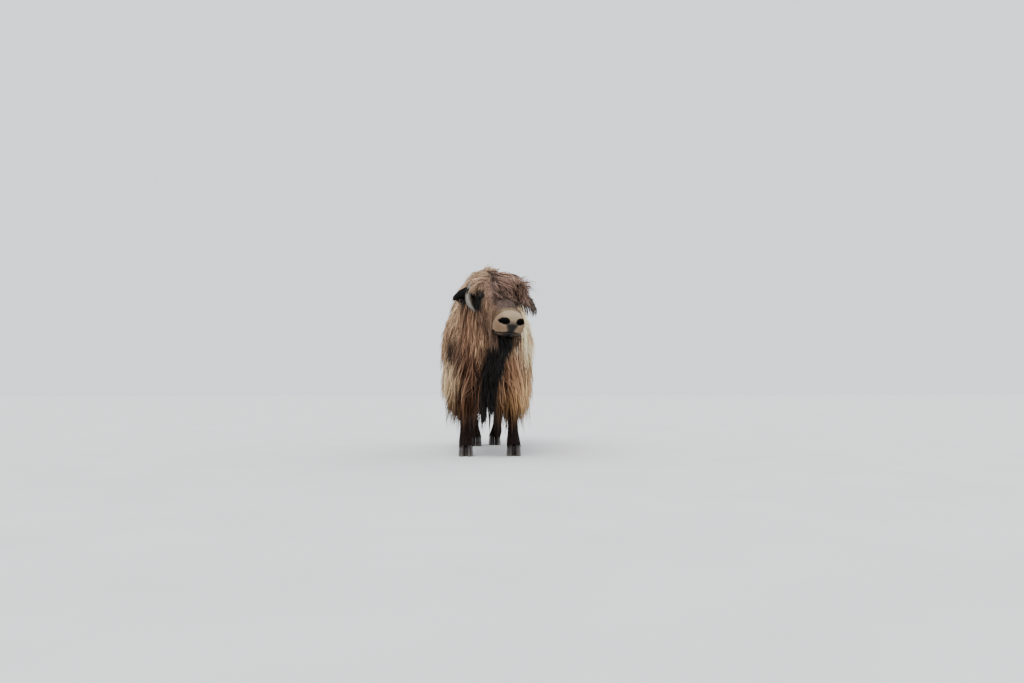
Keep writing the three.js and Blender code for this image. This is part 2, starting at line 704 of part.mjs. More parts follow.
// The switch: locks round the tail in tiers, each longer below.
function tailLocks() {
  const locks = [];
  const tiers = [{ z: 900, reach: 44 }, { z: 720, reach: 56 }, { z: 560, reach: 42 }];
  tiers.forEach(({ z, reach }, tier) => {
    for (let i = 0; i < 3; i += 1) {
      const angle = radians(120 * i + 60 * tier + 30);
      const outward = vec(Math.cos(angle), Math.sin(angle), 0);
      const root = vec(-6, 1304, z).addScaledVector(outward, 14);
      locks.push(hangingLock(root, outward, 250 + draw(-15, 25), reach, i, 84));
    }
  });
  return locks;
}

// The black hair of the throat and brisket, hanging in front of the chest.
const BIB = [
  { at: vec(98, -490, 875), across: 90, deep: 120 },
  { at: vec(84, -420, 800), across: 130, deep: 180 },
  { at: vec(60, -340, 700), across: 160, deep: 200 },
  { at: vec(28, -285, 595), across: 156, deep: 190 },
  { at: vec(4, -240, 490), across: 140, deep: 160 },
  { at: vec(0, -208, 380), across: 110, deep: 110 },
  { at: vec(0, -190, 300), across: 50, deep: 50 },
];

function bibCore(share, grow = 0) {
  const kept = BIB.slice(0, -1).map((j) => ({ ...j, across: j.across * share, deep: j.deep * share }));
  return limb(kept, grow, 6, 9);
}

function bibLocks() {
  const locks = [];
  const line = new THREE.CatmullRomCurve3(BIB.map((j) => j.at));
  const tiers = [0.08, 0.3, 0.52, 0.7];
  tiers.forEach((t, tier) => {
    for (let i = 0; i < 3; i += 1) {
      const angle = radians(-150 + 60 * i + 16 * (tier % 2));
      const outward = vec(Math.cos(angle), Math.sin(angle), 0);
      const root = line.getPoint(t).addScaledVector(outward, tier ? 26 : 16);
      locks.push(hangingLock(root, outward, 235 + draw(-20, 20), 30 + 12 * (i % 2), i, 60));
    }
  });
  return locks;
}

// Fringes of hair that hang from the lower edge of an ear.
function earLocks(name, side) {
  const locks = [];
  const root = onHead(EAR_ROOT.down, side * EAR_ROOT.out, EAR_ROOT.rise);
  const { down, out, rise } = EAR_TIPS[name];
  const tip = onHead(down, side * out, rise);
  const behind = onHead(-1, 0, 0.55).sub(onHead(0, 0, 0)).normalize();
  for (let i = 0; i < 3; i += 1) {
    const at = root.clone().lerp(tip, 0.4 + 0.22 * i)
      .addScaledVector(UP, -4).addScaledVector(behind, 10);
    locks.push(hangingLock(at, vec(0.2 * side, -1, 0), 92 - 10 * i, 14, i, 40, 8));
  }
  return locks;
}

const FINISHES = {
  coat: { color: 0x8a6a4c, roughness: 0.95 },
  mane: { color: 0x9c7f60, roughness: 0.95 },
  face: { color: 0x84705f, roughness: 0.9 },
  black: { color: 0x1a140f, roughness: 0.9 },
  leg: { color: 0x2a1a12, roughness: 0.9 },
  horn: { color: 0x7b766e, roughness: 0.55 },
  hoof: { color: 0x2b2622, roughness: 0.6 },
  eye: { color: 0x120c08, roughness: 0.1 },
  tail: { color: 0x6b5039, roughness: 0.95 },
};

const yak = new THREE.Group();

function addPart(name, made, finish) {
  const mesh = largest(made).getMesh();
  const geometry = new THREE.BufferGeometry();
  const stride = mesh.numProp;
  const positions = new Float32Array(mesh.numVert * 3);
  for (let i = 0; i < mesh.numVert; i += 1) {
    positions.set(mesh.vertProperties.subarray(i * stride, i * stride + 3), i * 3);
  }
  geometry.setAttribute('position', new THREE.BufferAttribute(positions, 3));
  geometry.setIndex(new THREE.BufferAttribute(mesh.triVerts, 1));
  const material = new THREE.MeshStandardMaterial({ metalness: 0, ...FINISHES[finish] });
  const part = new THREE.Mesh(geometry, material);
  part.name = name;
  yak.add(part);
}

const SIDES = Object.entries({ left: 1, right: -1 });

// The skull with its lids and sockets, and the pits and groove of the muzzle.
function headBody(grow = 0) {
  const shell = joined([skullCore(grow), ...SIDES.map(([, side]) => lids(side))]);
  if (grow > 0) return shell;
  return shell.subtract(joined(SIDES.map(([, side]) => nostril(side)))).subtract(mouthGroove());
}

const KNEE = 300;
const legPart = (leg, low, high, grow) => limb(legJoints(leg), grow, 9, 10)
  .intersect(between(low - grow, high + grow));

// Every node in turn, its bare body and its locks: each body is cut clear of those before it,
// and each lock of every other body and of the locks before it.
const nodes = [
  ...SIDES.map(([name, side]) => ({
    name: `eye_${name}`, finish: 'eye', body: (grow) => eyeball(side, grow),
  })),
  { name: 'head', finish: 'face', body: headBody, locks: headLocks() },
  ...SIDES.map(([name, side]) => ({
    name: `horn_${name}`, finish: 'horn', body: (grow) => horn(side, grow),
  })),
  ...SIDES.map(([name, side]) => ({
    name: `ear_${name}`,
    finish: 'black',
    body: (grow) => ear(name, side, grow),
    locks: earLocks(name, side),
  })),
  ...Object.entries(LEGS).map(([name, leg]) => ({
    name: `hoof_${name}`, finish: 'hoof', body: (grow) => hoof(leg, grow),
  })),
  { name: 'torso', finish: 'coat', body: (grow) => trunkCore(CORE_SHARE, grow), locks: trunkLocks() },
  { name: 'neck', finish: 'mane', body: (grow) => neckCore(CORE_SHARE, grow), locks: neckLocks() },
  { name: 'bib', finish: 'black', body: (grow) => bibCore(0.5, grow), locks: bibLocks() },
  { name: 'tail', finish: 'tail', body: (grow) => tailCore(0.5, grow), locks: tailLocks() },
  ...Object.entries(LEGS).map(([name, leg]) => ({
    name: `leg_${name}_upper`,
    finish: 'leg',
    body: (grow) => legPart(leg, KNEE, 900, grow),
    locks: legLocks(leg),
  })),
  ...Object.entries(LEGS).map(([name, leg]) => ({
    name: `leg_${name}_lower`, finish: 'leg', body: (grow) => legPart(leg, 0, KNEE - GAP, grow),
  })),
];

const bodyShells = nodes.map(({ body }) => body(GAP));
const lockShells = nodes.map(({ locks = [] }) => locks.map((spec) => lockSolid(spec, GAP)));
nodes.forEach(({ name, finish, body, locks }, own) => {
  const before = bodyShells.slice(0, own);
  const bare = before.length ? body(0).subtract(joined(before)) : body(0);
  if (!locks) {
    addPart(name, bare.subtract(joined(lockShells.flat())), finish);
    return;
  }
  const others = bodyShells.filter((_, i) => i !== own);
  const hair = joined(locks.map((spec) => lockSolid(spec, 0)))
    .subtract(joined([...others, ...lockShells.slice(0, own).flat()]));
  addPart(name, bare.add(hair), finish);
});

yak.position.set(CENTRE_SHIFT.x, CENTRE_SHIFT.y, 0);

export default yak;
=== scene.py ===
"""A life-size long-haired yak bull, standing still with its head turned to its left."""

import logging
import math
from collections.abc import Callable
from dataclasses import dataclass, field
from enum import Enum

import bpy
import numpy as np
from mathutils import Matrix
from mathutils.bvhtree import BVHTree
from mathutils.kdtree import KDTree


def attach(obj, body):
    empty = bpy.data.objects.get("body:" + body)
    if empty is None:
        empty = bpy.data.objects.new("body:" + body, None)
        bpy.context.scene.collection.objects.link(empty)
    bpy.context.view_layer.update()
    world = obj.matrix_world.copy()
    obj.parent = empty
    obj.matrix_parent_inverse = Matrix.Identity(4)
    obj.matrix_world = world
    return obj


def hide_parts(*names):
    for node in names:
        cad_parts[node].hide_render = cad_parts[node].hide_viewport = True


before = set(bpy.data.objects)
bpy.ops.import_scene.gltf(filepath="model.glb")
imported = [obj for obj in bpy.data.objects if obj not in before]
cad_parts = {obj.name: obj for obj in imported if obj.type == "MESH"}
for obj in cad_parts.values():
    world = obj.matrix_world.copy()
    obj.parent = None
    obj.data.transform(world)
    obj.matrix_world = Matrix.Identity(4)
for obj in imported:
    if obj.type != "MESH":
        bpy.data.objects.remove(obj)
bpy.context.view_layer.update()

log = logging.getLogger("yak")

Array = np.ndarray
Pair = tuple[Array, Array]
Triple = tuple[float, float, float]
Faces = list[list[int]]
Piece = bpy.types.Object
Socket = bpy.types.NodeSocket

# The animal is laid out in metres from a point on the floor between its fore hooves.
# X is its left, Y its back and Z up. The frame's own origin lies further back.
TO_FRAME = np.array([0.0, -0.270, 0.0])
UP = np.array([0.0, 0.0, 1.0])
BODY = "root"

ACROSS = np.array([1.0, 0.0, 0.0])
BACK = np.array([0.0, 1.0, 0.0])

HEAD_LENGTH = 0.480
HALF_WIDTH = 0.362
EYEBALL_RADIUS = 0.021
HOOF_HEIGHT = 0.078

# Places on the head: distance down the face, out from its middle line, and rise.
EYE_PLACE = (0.168, 0.101, 0.005)
NOSTRIL_PIT = (0.470, 0.049, -0.001)
NOSTRIL_SLIT = (0.461, 0.067, -0.009)

# How deep hair is rooted, how far under another part's skin a root counts as buried,
# and how far hair may pass the widest line of the animal.
ROOT_DEPTH = 0.002
BURIED = 0.003
SIDE_GIVE = 0.016

# How near leaders may grow, as a share of their spacing, how far a step may stretch, and how
# far from the skin hair is still held by it. Then the share of stray locks and their layer.
LEADER_GAP = 0.8
STEP_GIVE = 1.3
HOLD_REACH = 0.35
STRAY_SHARE = 0.05
STRAY_LAYER = 1.15


class Side(Enum):
    """A side of the animal, with the sign of its X."""

    LEFT = 1
    RIGHT = -1


def srgb(red: float, green: float, blue: float) -> Array:
    """Turns a screen colour into the linear colour that shaders use.

    Args:
        red, green, blue: The channels, from 0 to 255.

    Returns:
        The three linear channels, from 0 to 1.
    """
    c = np.array([red, green, blue]) / 255.0
    return np.where(c <= 0.04045, c / 12.92, ((c + 0.055) / 1.055) ** 2.4)


def along(stations: Array, values: Array, at: Array) -> Array:
    """Reads a table on a smooth curve through its stations.

    Args:
        stations: Rising places of the table's rows, (m,).
        values: The rows, (m,) or (m, k).
        at: Places to read, any shape.

    Returns:
        The values there, with at's shape, and k last where the rows have k columns.
    """
    at = np.asarray(at, float)
    values = np.asarray(values, float)
    last = len(stations) - 1
    i = np.clip(np.searchsorted(stations, at, side="right") - 1, 0, last - 1)
    before, after = np.maximum(i - 1, 0), np.minimum(i + 2, last)
    span = stations[i + 1] - stations[i]
    t = np.clip((at - stations[i]) / span, 0, 1)
    ends = (stations[i + 1] - stations[before], stations[after] - stations[i])
    if values.ndim > 1:
        t, span = t[..., None], span[..., None]
        ends = (ends[0][..., None], ends[1][..., None])
    m1 = (values[i + 1] - values[before]) / ends[0] * span
    m2 = (values[after] - values[i]) / ends[1] * span
    t2, t3 = t * t, t * t * t
    return (
        (2 * t3 - 3 * t2 + 1) * values[i] + (t3 - 2 * t2 + t) * m1
        + (3 * t2 - 2 * t3) * values[i + 1] + (t3 - t2) * m2
    )


def unit(vectors: Array) -> Array:
    """Scales vectors to length one."""
    return vectors / np.maximum(np.linalg.norm(vectors, axis=-1, keepdims=True), 1e-9)


def ease(low: float, high: float, x: Array) -> Array:
    """Rises smoothly from 0 at low to 1 at high."""
    t = np.clip((x - low) / (high - low), 0, 1)
    return t * t * (3 - 2 * t)


def circle(count: int) -> Array:
    """Returns evenly spaced angles round a full turn."""
    return np.linspace(0, 2 * np.pi, count, endpoint=False)


def dots(a: Array, b: Array) -> Array:
    """Returns the dot product of each pair of rows."""
    return np.einsum("ij,ij->i", a, b)


def point_tree(points: Array) -> KDTree:
    """Returns a tree that finds the nearest of some points."""
    tree = KDTree(len(points))
    for i, p in enumerate(points):
        tree.insert(p, i)
    tree.balance()
    return tree


def section_points(
    centre: Array, right: Array, up: Array, sizes: Array, angles: Array
) -> Array:
    """Lays rings whose upper and lower halves are superellipses.

    Args:
        centre, right, up: The ring's middle and axes, (r, 3) each.
        sizes: Half width, height above, height below, power above and power below, (r, 5).
        angles: Angles from the right hand side, (v,).

    Returns:
        The points, (r, v, 3).
    """
    c, s = np.cos(angles)[None, :], np.sin(angles)[None, :]
    half, above, below, bulge, keel = (sizes[:, k, None] for k in range(5))
    power = np.where(s >= 0, 2 / bulge, 2 / keel)
    across = np.sign(c) * np.abs(c) ** power * half
    rise = np.abs(s) ** power * np.where(s >= 0, above, -below)
    return centre[:, None] + right[:, None] * across[..., None] + up[:, None] * rise[..., None]


@dataclass
class Roots:
    """Places on a skin where hair grows.

    Attributes:
        place: Points on the skin, (n, 3).
        normal: Outward directions there, (n, 3).
        unwrap: Places on the unwrapped skin, from 0 to 1, (n, 2).
    """

    place: Array
    normal: Array
    unwrap: Array

    def kept(self, chosen: Array) -> "Roots":
        """Returns the roots that a mask or an index list chooses."""
        return Roots(self.place[chosen], self.normal[chosen], self.unwrap[chosen])


# Rules that give each root a direction, a choice, or the hair's length and depth.
RootRule = Callable[[Roots], Array]
HairScale = Callable[[Roots], Pair]


@dataclass
class Surface:
    """A skin over rings that run one after another, closed at both ends.

    Attributes:
        points: The rings' points, (r, v, 3).
    """

    points: Array

    def rounded(self, swell: float) -> "Surface":
        """Adds rings that draw each end together over a low dome.

        Args:
            swell: How far each dome stands out, in metres.

        Returns:
            The longer surface.
        """
        turns = np.radians([25, 50, 70, 84])
        ends = []
        for ring, inner in ((self.points[0], self.points[1]), (self.points[-1], self.points[-2])):
            middle = ring.mean(axis=0)
            out = unit(middle - inner.mean(axis=0)) * swell
            spread = ring - middle
            ends.append([middle + spread * math.cos(a) + out * math.sin(a) for a in turns])
        return Surface(np.array([*ends[0][::-1], *self.points, *ends[1]]))

    def mesh(self) -> tuple[Array, Faces]:
        """Returns the vertices and faces, wound outwards, with a fan over each end."""
        rings, sides = self.points.shape[:2]
        tips = [self.points[end].mean(axis=0) for end in (0, -1)]
        verts = np.concatenate([self.points.reshape(-1, 3), tips])
        faces = []
        for r in range(rings - 1):
            for i in range(sides):
                a, b = r * sides + i, r * sides + (i + 1) % sides
                faces.append([a, b, b + sides, a + sides])
        tail, nose = rings * sides, rings * sides + 1
        last = (rings - 1) * sides
        for i in range(sides):
            j = (i + 1) % sides
            faces.append([j, i, tail])
            faces.append([last + i, last + j, nose])
        if self.volume(verts, faces) < 0:
            faces = [face[::-1] for face in faces]
        return verts, faces

    @staticmethod
    def volume(verts: Array, faces: Faces) -> float:
        """Returns six times the signed volume that the faces enclose."""
        total = 0.0
        for size in (3, 4):
            chosen = np.array([face for face in faces if len(face) == size])
            for k in range(1, size - 1) if len(chosen) else ():
                a, b, c = (verts[chosen[:, i]] for i in (0, k, k + 1))
                total += float(dots(a, np.cross(b, c)).sum())
        return total

    def cells(self) -> Pair:
        """Returns the rings with the first point repeated, and the area of each cell."""
        wrapped = np.concatenate([self.points, self.points[:, :1]], axis=1)
        du = wrapped[1:, :-1] - wrapped[:-1, :-1]
        dv = wrapped[:-1, 1:] - wrapped[:-1, :-1]
        return wrapped, np.linalg.norm(np.cross(du, dv), axis=-1)

    def area(self) -> float:
        """Returns the surface's area."""
        return float(self.cells()[1].sum())

    def sample(self, count: int, rng: np.random.Generator) -> Roots:
        """Scatters roots evenly over the surface.

        Args:
            count: How many.
            rng: The seeded source of chance.

        Returns:
            The roots.
        """
        rings, sides = self.points.shape[:2]
        wrapped, area = self.cells()
        cell = rng.choice(area.size, size=count, p=(area / area.sum()).ravel())
        r, i = np.divmod(cell, sides)
        u, v = rng.random(count), rng.random(count)
        corner = [wrapped[r + a, i + b] for a, b in ((0, 0), (0, 1), (1, 0), (1, 1))]
        low = corner[0] + (corner[1] - corner[0]) * v[:, None]
        high = corner[2] + (corner[3] - corner[2]) * v[:, None]
        place = low + (high - low) * u[:, None]
        ring_middle = self.points.mean(axis=1)
        normal = unit(np.cross(high - low, (corner[1] - corner[0]) + (corner[3] - corner[2])))
        outward = dots(normal, place - ring_middle[r])
        normal *= np.where(outward < 0, -1, 1)[:, None]
        return Roots(place, normal, np.stack([(r + u) / (rings - 1), (i + v) / sides], axis=1))


def linked(name: str, data: bpy.types.ID) -> Piece:
    """Makes an object from its data and puts it in the scene."""
    made = bpy.data.objects.new(name, data)
    bpy.context.scene.collection.objects.link(made)
    return made


def corners_of(piece: Piece) -> Array:
    """Returns a piece's vertices in the frame's coordinates."""
    flat = np.empty(len(piece.data.vertices) * 3)
    piece.data.vertices.foreach_get("co", flat)
    return flat.reshape(-1, 3)


def new_object(name: str, verts: Array, faces: Faces) -> Piece:
    """Makes a mesh object at the origin from animal coordinates.

    Args:
        name: The object's name.
        verts: Vertices, (n, 3).
        faces: Corner indices of each face.

    Returns:
        The linked object.
    """
    mesh = bpy.data.meshes.new(name)
    mesh.from_pydata([tuple(v) for v in np.asarray(verts) + TO_FRAME], [], faces)
    mesh.validate()
    return linked(name, mesh)


def combined(target: Piece, tools: list[Piece], how: str) -> None:
    """Joins tools to a closed mesh or cuts them from it, and removes them.

    Args:
        target: The object that is changed.
        tools: Closed objects.
        how: UNION or DIFFERENCE.
    """
    for tool in tools:
        step = target.modifiers.new(how.title(), "BOOLEAN")
        step.operation, step.object, step.solver = how, tool, "MANIFOLD"
    graph = bpy.context.evaluated_depsgraph_get()
    made = bpy.data.meshes.new_from_object(target.evaluated_get(graph))
    target.modifiers.clear()
    target.data = made
    for tool in tools:
        bpy.data.objects.remove(tool)


def finished(
    piece: Piece, nodes: list[str], material: bpy.types.Material | None = None
) -> None:
    """Sets a piece to ride with the animal, and says which nodes it stands for.

    Args:
        piece: The object.
        nodes: CAD nodes that it replaces.
        material: Its material, where it has none yet.
    """
    if material is not None:
        piece.data.materials.clear()
        piece.data.materials.append(material)
    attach(piece, BODY)
    if nodes:
        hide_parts(*nodes)
    log.info("%s: %d faces", piece.name, len(piece.data.polygons))


def colour_attribute(
    mesh: bpy.types.Mesh, colours: Array, wet: Array | float = 0.0
) -> None:
    """Stores a linear colour at every vertex as the attribute Tone, with wetness as its alpha.

    Args:
        mesh: The mesh.
        colours: One colour for each vertex.
        wet: How bare and moist the skin is there, from 0 to 1.
    """
    store = mesh.attributes.new("Tone", "FLOAT_COLOR", "POINT")
    full = np.ones((len(colours), 4), np.float32)
    full[:, :3] = colours
    full[:, 3] = wet
    store.data.foreach_set("color", full.ravel())


# The outline of the bare trunk, from the brisket to the rump.
# Columns: y, top, keel, half width, share of the coat's depth.
TRUNK = np.array([
    [-0.262, 0.860, 0.690, 0.081, 0.80],
    [-0.225, 0.985, 0.615, 0.140, 1.00],
    [-0.140, 1.130, 0.550, 0.192, 1.10],
    [-0.020, 1.275, 0.520, 0.224, 1.15],
    [0.100, 1.330, 0.515, 0.239, 1.15],
    [0.230, 1.308, 0.508, 0.253, 1.10],
    [0.380, 1.250, 0.495, 0.274, 1.00],
    [0.550, 1.198, 0.487, 0.291, 1.00],
    [0.720, 1.176, 0.497, 0.291, 1.00],
    [0.880, 1.170, 0.535, 0.276, 1.00],
    [1.010, 1.164, 0.585, 0.256, 1.00],
    [1.120, 1.138, 0.640, 0.221, 0.95],
    [1.200, 1.085, 0.720, 0.160, 0.85],
    [1.245, 1.010, 0.800, 0.076, 0.60],
])

# The neck. Columns: x, y, z, half width, above, below.
NECK = np.array([
    [0.000, 0.150, 0.950, 0.185, 0.335, 0.300],
    [0.000, -0.020, 0.965, 0.182, 0.312, 0.310],
    [0.003, -0.170, 1.000, 0.160, 0.258, 0.270],
    [0.008, -0.290, 1.045, 0.132, 0.196, 0.205],
    [0.013, -0.385, 1.085, 0.110, 0.140, 0.150],
    [0.018, -0.455, 1.115, 0.084, 0.084, 0.092],
])

# The dewlap under the throat, which carries the black hair. Columns: x, y, z, width, depth.
DEWLAP = np.array([
    [0.075, -0.440, 0.985, 0.050, 0.080],
    [0.098, -0.490, 0.875, 0.036, 0.060],
    [0.084, -0.420, 0.800, 0.044, 0.070],
    [0.060, -0.340, 0.700, 0.050, 0.080],
    [0.028, -0.285, 0.595, 0.048, 0.076],
    [0.004, -0.240, 0.490, 0.040, 0.060],
    [0.000, -0.212, 0.400, 0.024, 0.030],
])

# The dock of the tail. Columns: x, y, z, width, depth.
DOCK = np.array([
    [0.000, 1.180, 1.075, 0.076, 0.068],
    [0.000, 1.252, 1.020, 0.060, 0.056],
    [-0.002, 1.292, 0.900, 0.044, 0.042],
    [-0.006, 1.306, 0.760, 0.036, 0.034],
    [-0.008, 1.308, 0.660, 0.020, 0.020],
])

# The bare skull. Columns: distance down the face as a share of its length, half width,
# above, below, power of the section above and below, and how far its widest line sinks.
SKULL = np.array([
    [-0.09, 0.062, 0.050, 0.072, 2.0, 2.0, 0.000],
    [-0.03, 0.088, 0.070, 0.104, 2.1, 2.1, 0.000],
    [0.06, 0.106, 0.084, 0.128, 2.2, 2.2, 0.000],
    [0.16, 0.114, 0.088, 0.142, 2.3, 2.3, 0.000],
    [0.28, 0.115, 0.086, 0.150, 2.3, 2.2, 0.000],
    [0.38, 0.106, 0.078, 0.146, 2.2, 2.1, 0.000],
    [0.50, 0.088, 0.068, 0.132, 2.1, 2.1, 0.004],
    [0.62, 0.078, 0.058, 0.120, 2.1, 2.3, 0.016],
    [0.74, 0.083, 0.050, 0.118, 2.1, 2.6, 0.030],
    [0.85, 0.093, 0.045, 0.122, 2.1, 3.0, 0.040],
    [0.93, 0.095, 0.040, 0.121, 2.1, 3.2, 0.044],
    [0.975, 0.088, 0.032, 0.108, 2.1, 3.2, 0.044],
    [1.00, 0.070, 0.014, 0.088, 2.0, 3.0, 0.040],
])


@dataclass(frozen=True)
class HeadPlace:
    """Where the head sits and how it is turned.

    Attributes:
        poll: The crown's place.
        pitch, yaw, roll: Turns in degrees.
    """

    poll: Triple = (0.014, -0.446, 1.154)
    pitch: float = 36.0
    yaw: float = 21.0
    roll: float = 2.5

    @property
    def turn(self) -> Array:
        """The rotation from the head's axes to the animal's."""
        yaw = Matrix.Rotation(math.radians(self.yaw), 3, "Z")
        pitch = Matrix.Rotation(math.radians(self.pitch), 3, "X")
        roll = Matrix.Rotation(math.radians(self.roll), 3, "Y")
        return np.array(yaw @ pitch @ roll)

    def point(self, down: Array, left: Array, rise: Array) -> Array:
        """Places points given by distance down the face, out to the left and up from its axis."""
        local = np.stack(np.broadcast_arrays(left, -np.asarray(down), rise), axis=-1)
        return local @ self.turn.T + np.array(self.poll)

    def local(self, points: Array) -> tuple[Array, Array, Array]:
        """Returns down, left and rise of points of the animal."""
        own = (points - np.array(self.poll)) @ self.turn
        return -own[..., 1], own[..., 0], own[..., 2]

    def vector(self, down: float, left: float, rise: float) -> Array:
        """Turns a direction of the head into the animal's."""
        return self.turn @ np.array([left, -down, rise])


HEAD = HeadPlace()


def loft(
    table: Array, rings: int, sides: int, bulge: float = 2.0, keel: float = 2.0
) -> Surface:
    """Lofts rings through stations, square to the line that joins them.

    Args:
        table: Rows of x, y, z, half width, height above and height below.
        rings: How many rings.
        sides: How many points in a ring.
        bulge: The section's power above.
        keel: The section's power below.

    Returns:
        The lofted surface.
    """
    stations = np.linspace(0, 1, len(table))
    t = np.linspace(0, 1, rings)
    line = along(stations, table[:, :3], t)
    tangent = unit(np.gradient(line, axis=0))
    right = unit(ACROSS - tangent * tangent[:, :1])
    up = np.cross(tangent, right)
    half, above, below = along(stations, table[:, 3:6], t).T
    sizes = np.stack([half, above, below, np.full(rings, bulge), np.full(rings, keel)], axis=1)
    return Surface(section_points(line, right, up, sizes, circle(sides)))


def limb_surface(table: Array, rings: int, sides: int) -> Surface:
    """Lofts a round limb through rows of x, y, z, width and depth."""
    return loft(np.column_stack([table[:, :3], table[:, [3, 4, 4]] / 2]), rings, sides)


@dataclass
class Trunk:
    """The barrel of the body, with its hump and rump."""

    rings: int = 72
    sides: int = 72
    widest_share: float = 0.42
    hump_power: float = 1.62
    back_power: float = 2.05
    keel_power: float = 2.2
    hump_ends: float = 0.23
    back_begins: float = 0.62
    end_swell: float = 0.012

    def surface(self) -> Surface:
        """Returns the trunk's bare skin."""
        y = np.linspace(TRUNK[0, 0], TRUNK[-1, 0], self.rings)
        top, keel, half = (along(TRUNK[:, 0], TRUNK[:, k], y) for k in (1, 2, 3))
        widest = keel + (top - keel) * self.widest_share
        behind = ease(self.hump_ends, self.back_begins, y)
        power = self.hump_power + (self.back_power - self.hump_power) * behind
        below = np.full_like(y, self.keel_power)
        sizes = np.stack([half, top - widest, widest - keel, power, below], axis=1)
        centre = np.stack([np.zeros_like(y), y, widest], axis=1)
        right, up = (np.tile(axis, (self.rings, 1)) for axis in (ACROSS, UP))
        rings = section_points(centre, right, up, sizes, circle(self.sides))
        return Surface(rings).rounded(self.end_swell)


@dataclass
class Neck:
    """The short deep neck between the hump and the skull."""

    rings: int = 34
    sides: int = 56
    bulge: float = 1.8
    keel: float = 1.9

    def surface(self) -> Surface:
        """Returns the neck's bare skin."""
        return loft(NECK, self.rings, self.sides, self.bulge, self.keel)


@dataclass(frozen=True)
class Swelling:
    """A rounded rise or hollow of the face, alike on both sides.

    Attributes:
        down, left, rise: Its middle in the head's own measures, in metres.
        radius: How far it spreads.
        height: How high it stands, or how deep where negative.
    """

    down: float
    left: float
    rise: float
    radius: float
    height: float


def lip_rise(down: Array, left: Array) -> Array:
    """Returns the mouth line's rise: an arch in front that drops toward its corners."""
    corner = 0.006 * ease(0.055, 0.085, np.abs(left)) + 0.45 * np.maximum(0.452 - down, 0)
    return -0.083 + 0.014 * np.exp(-((left / 0.050) ** 2)) - corner


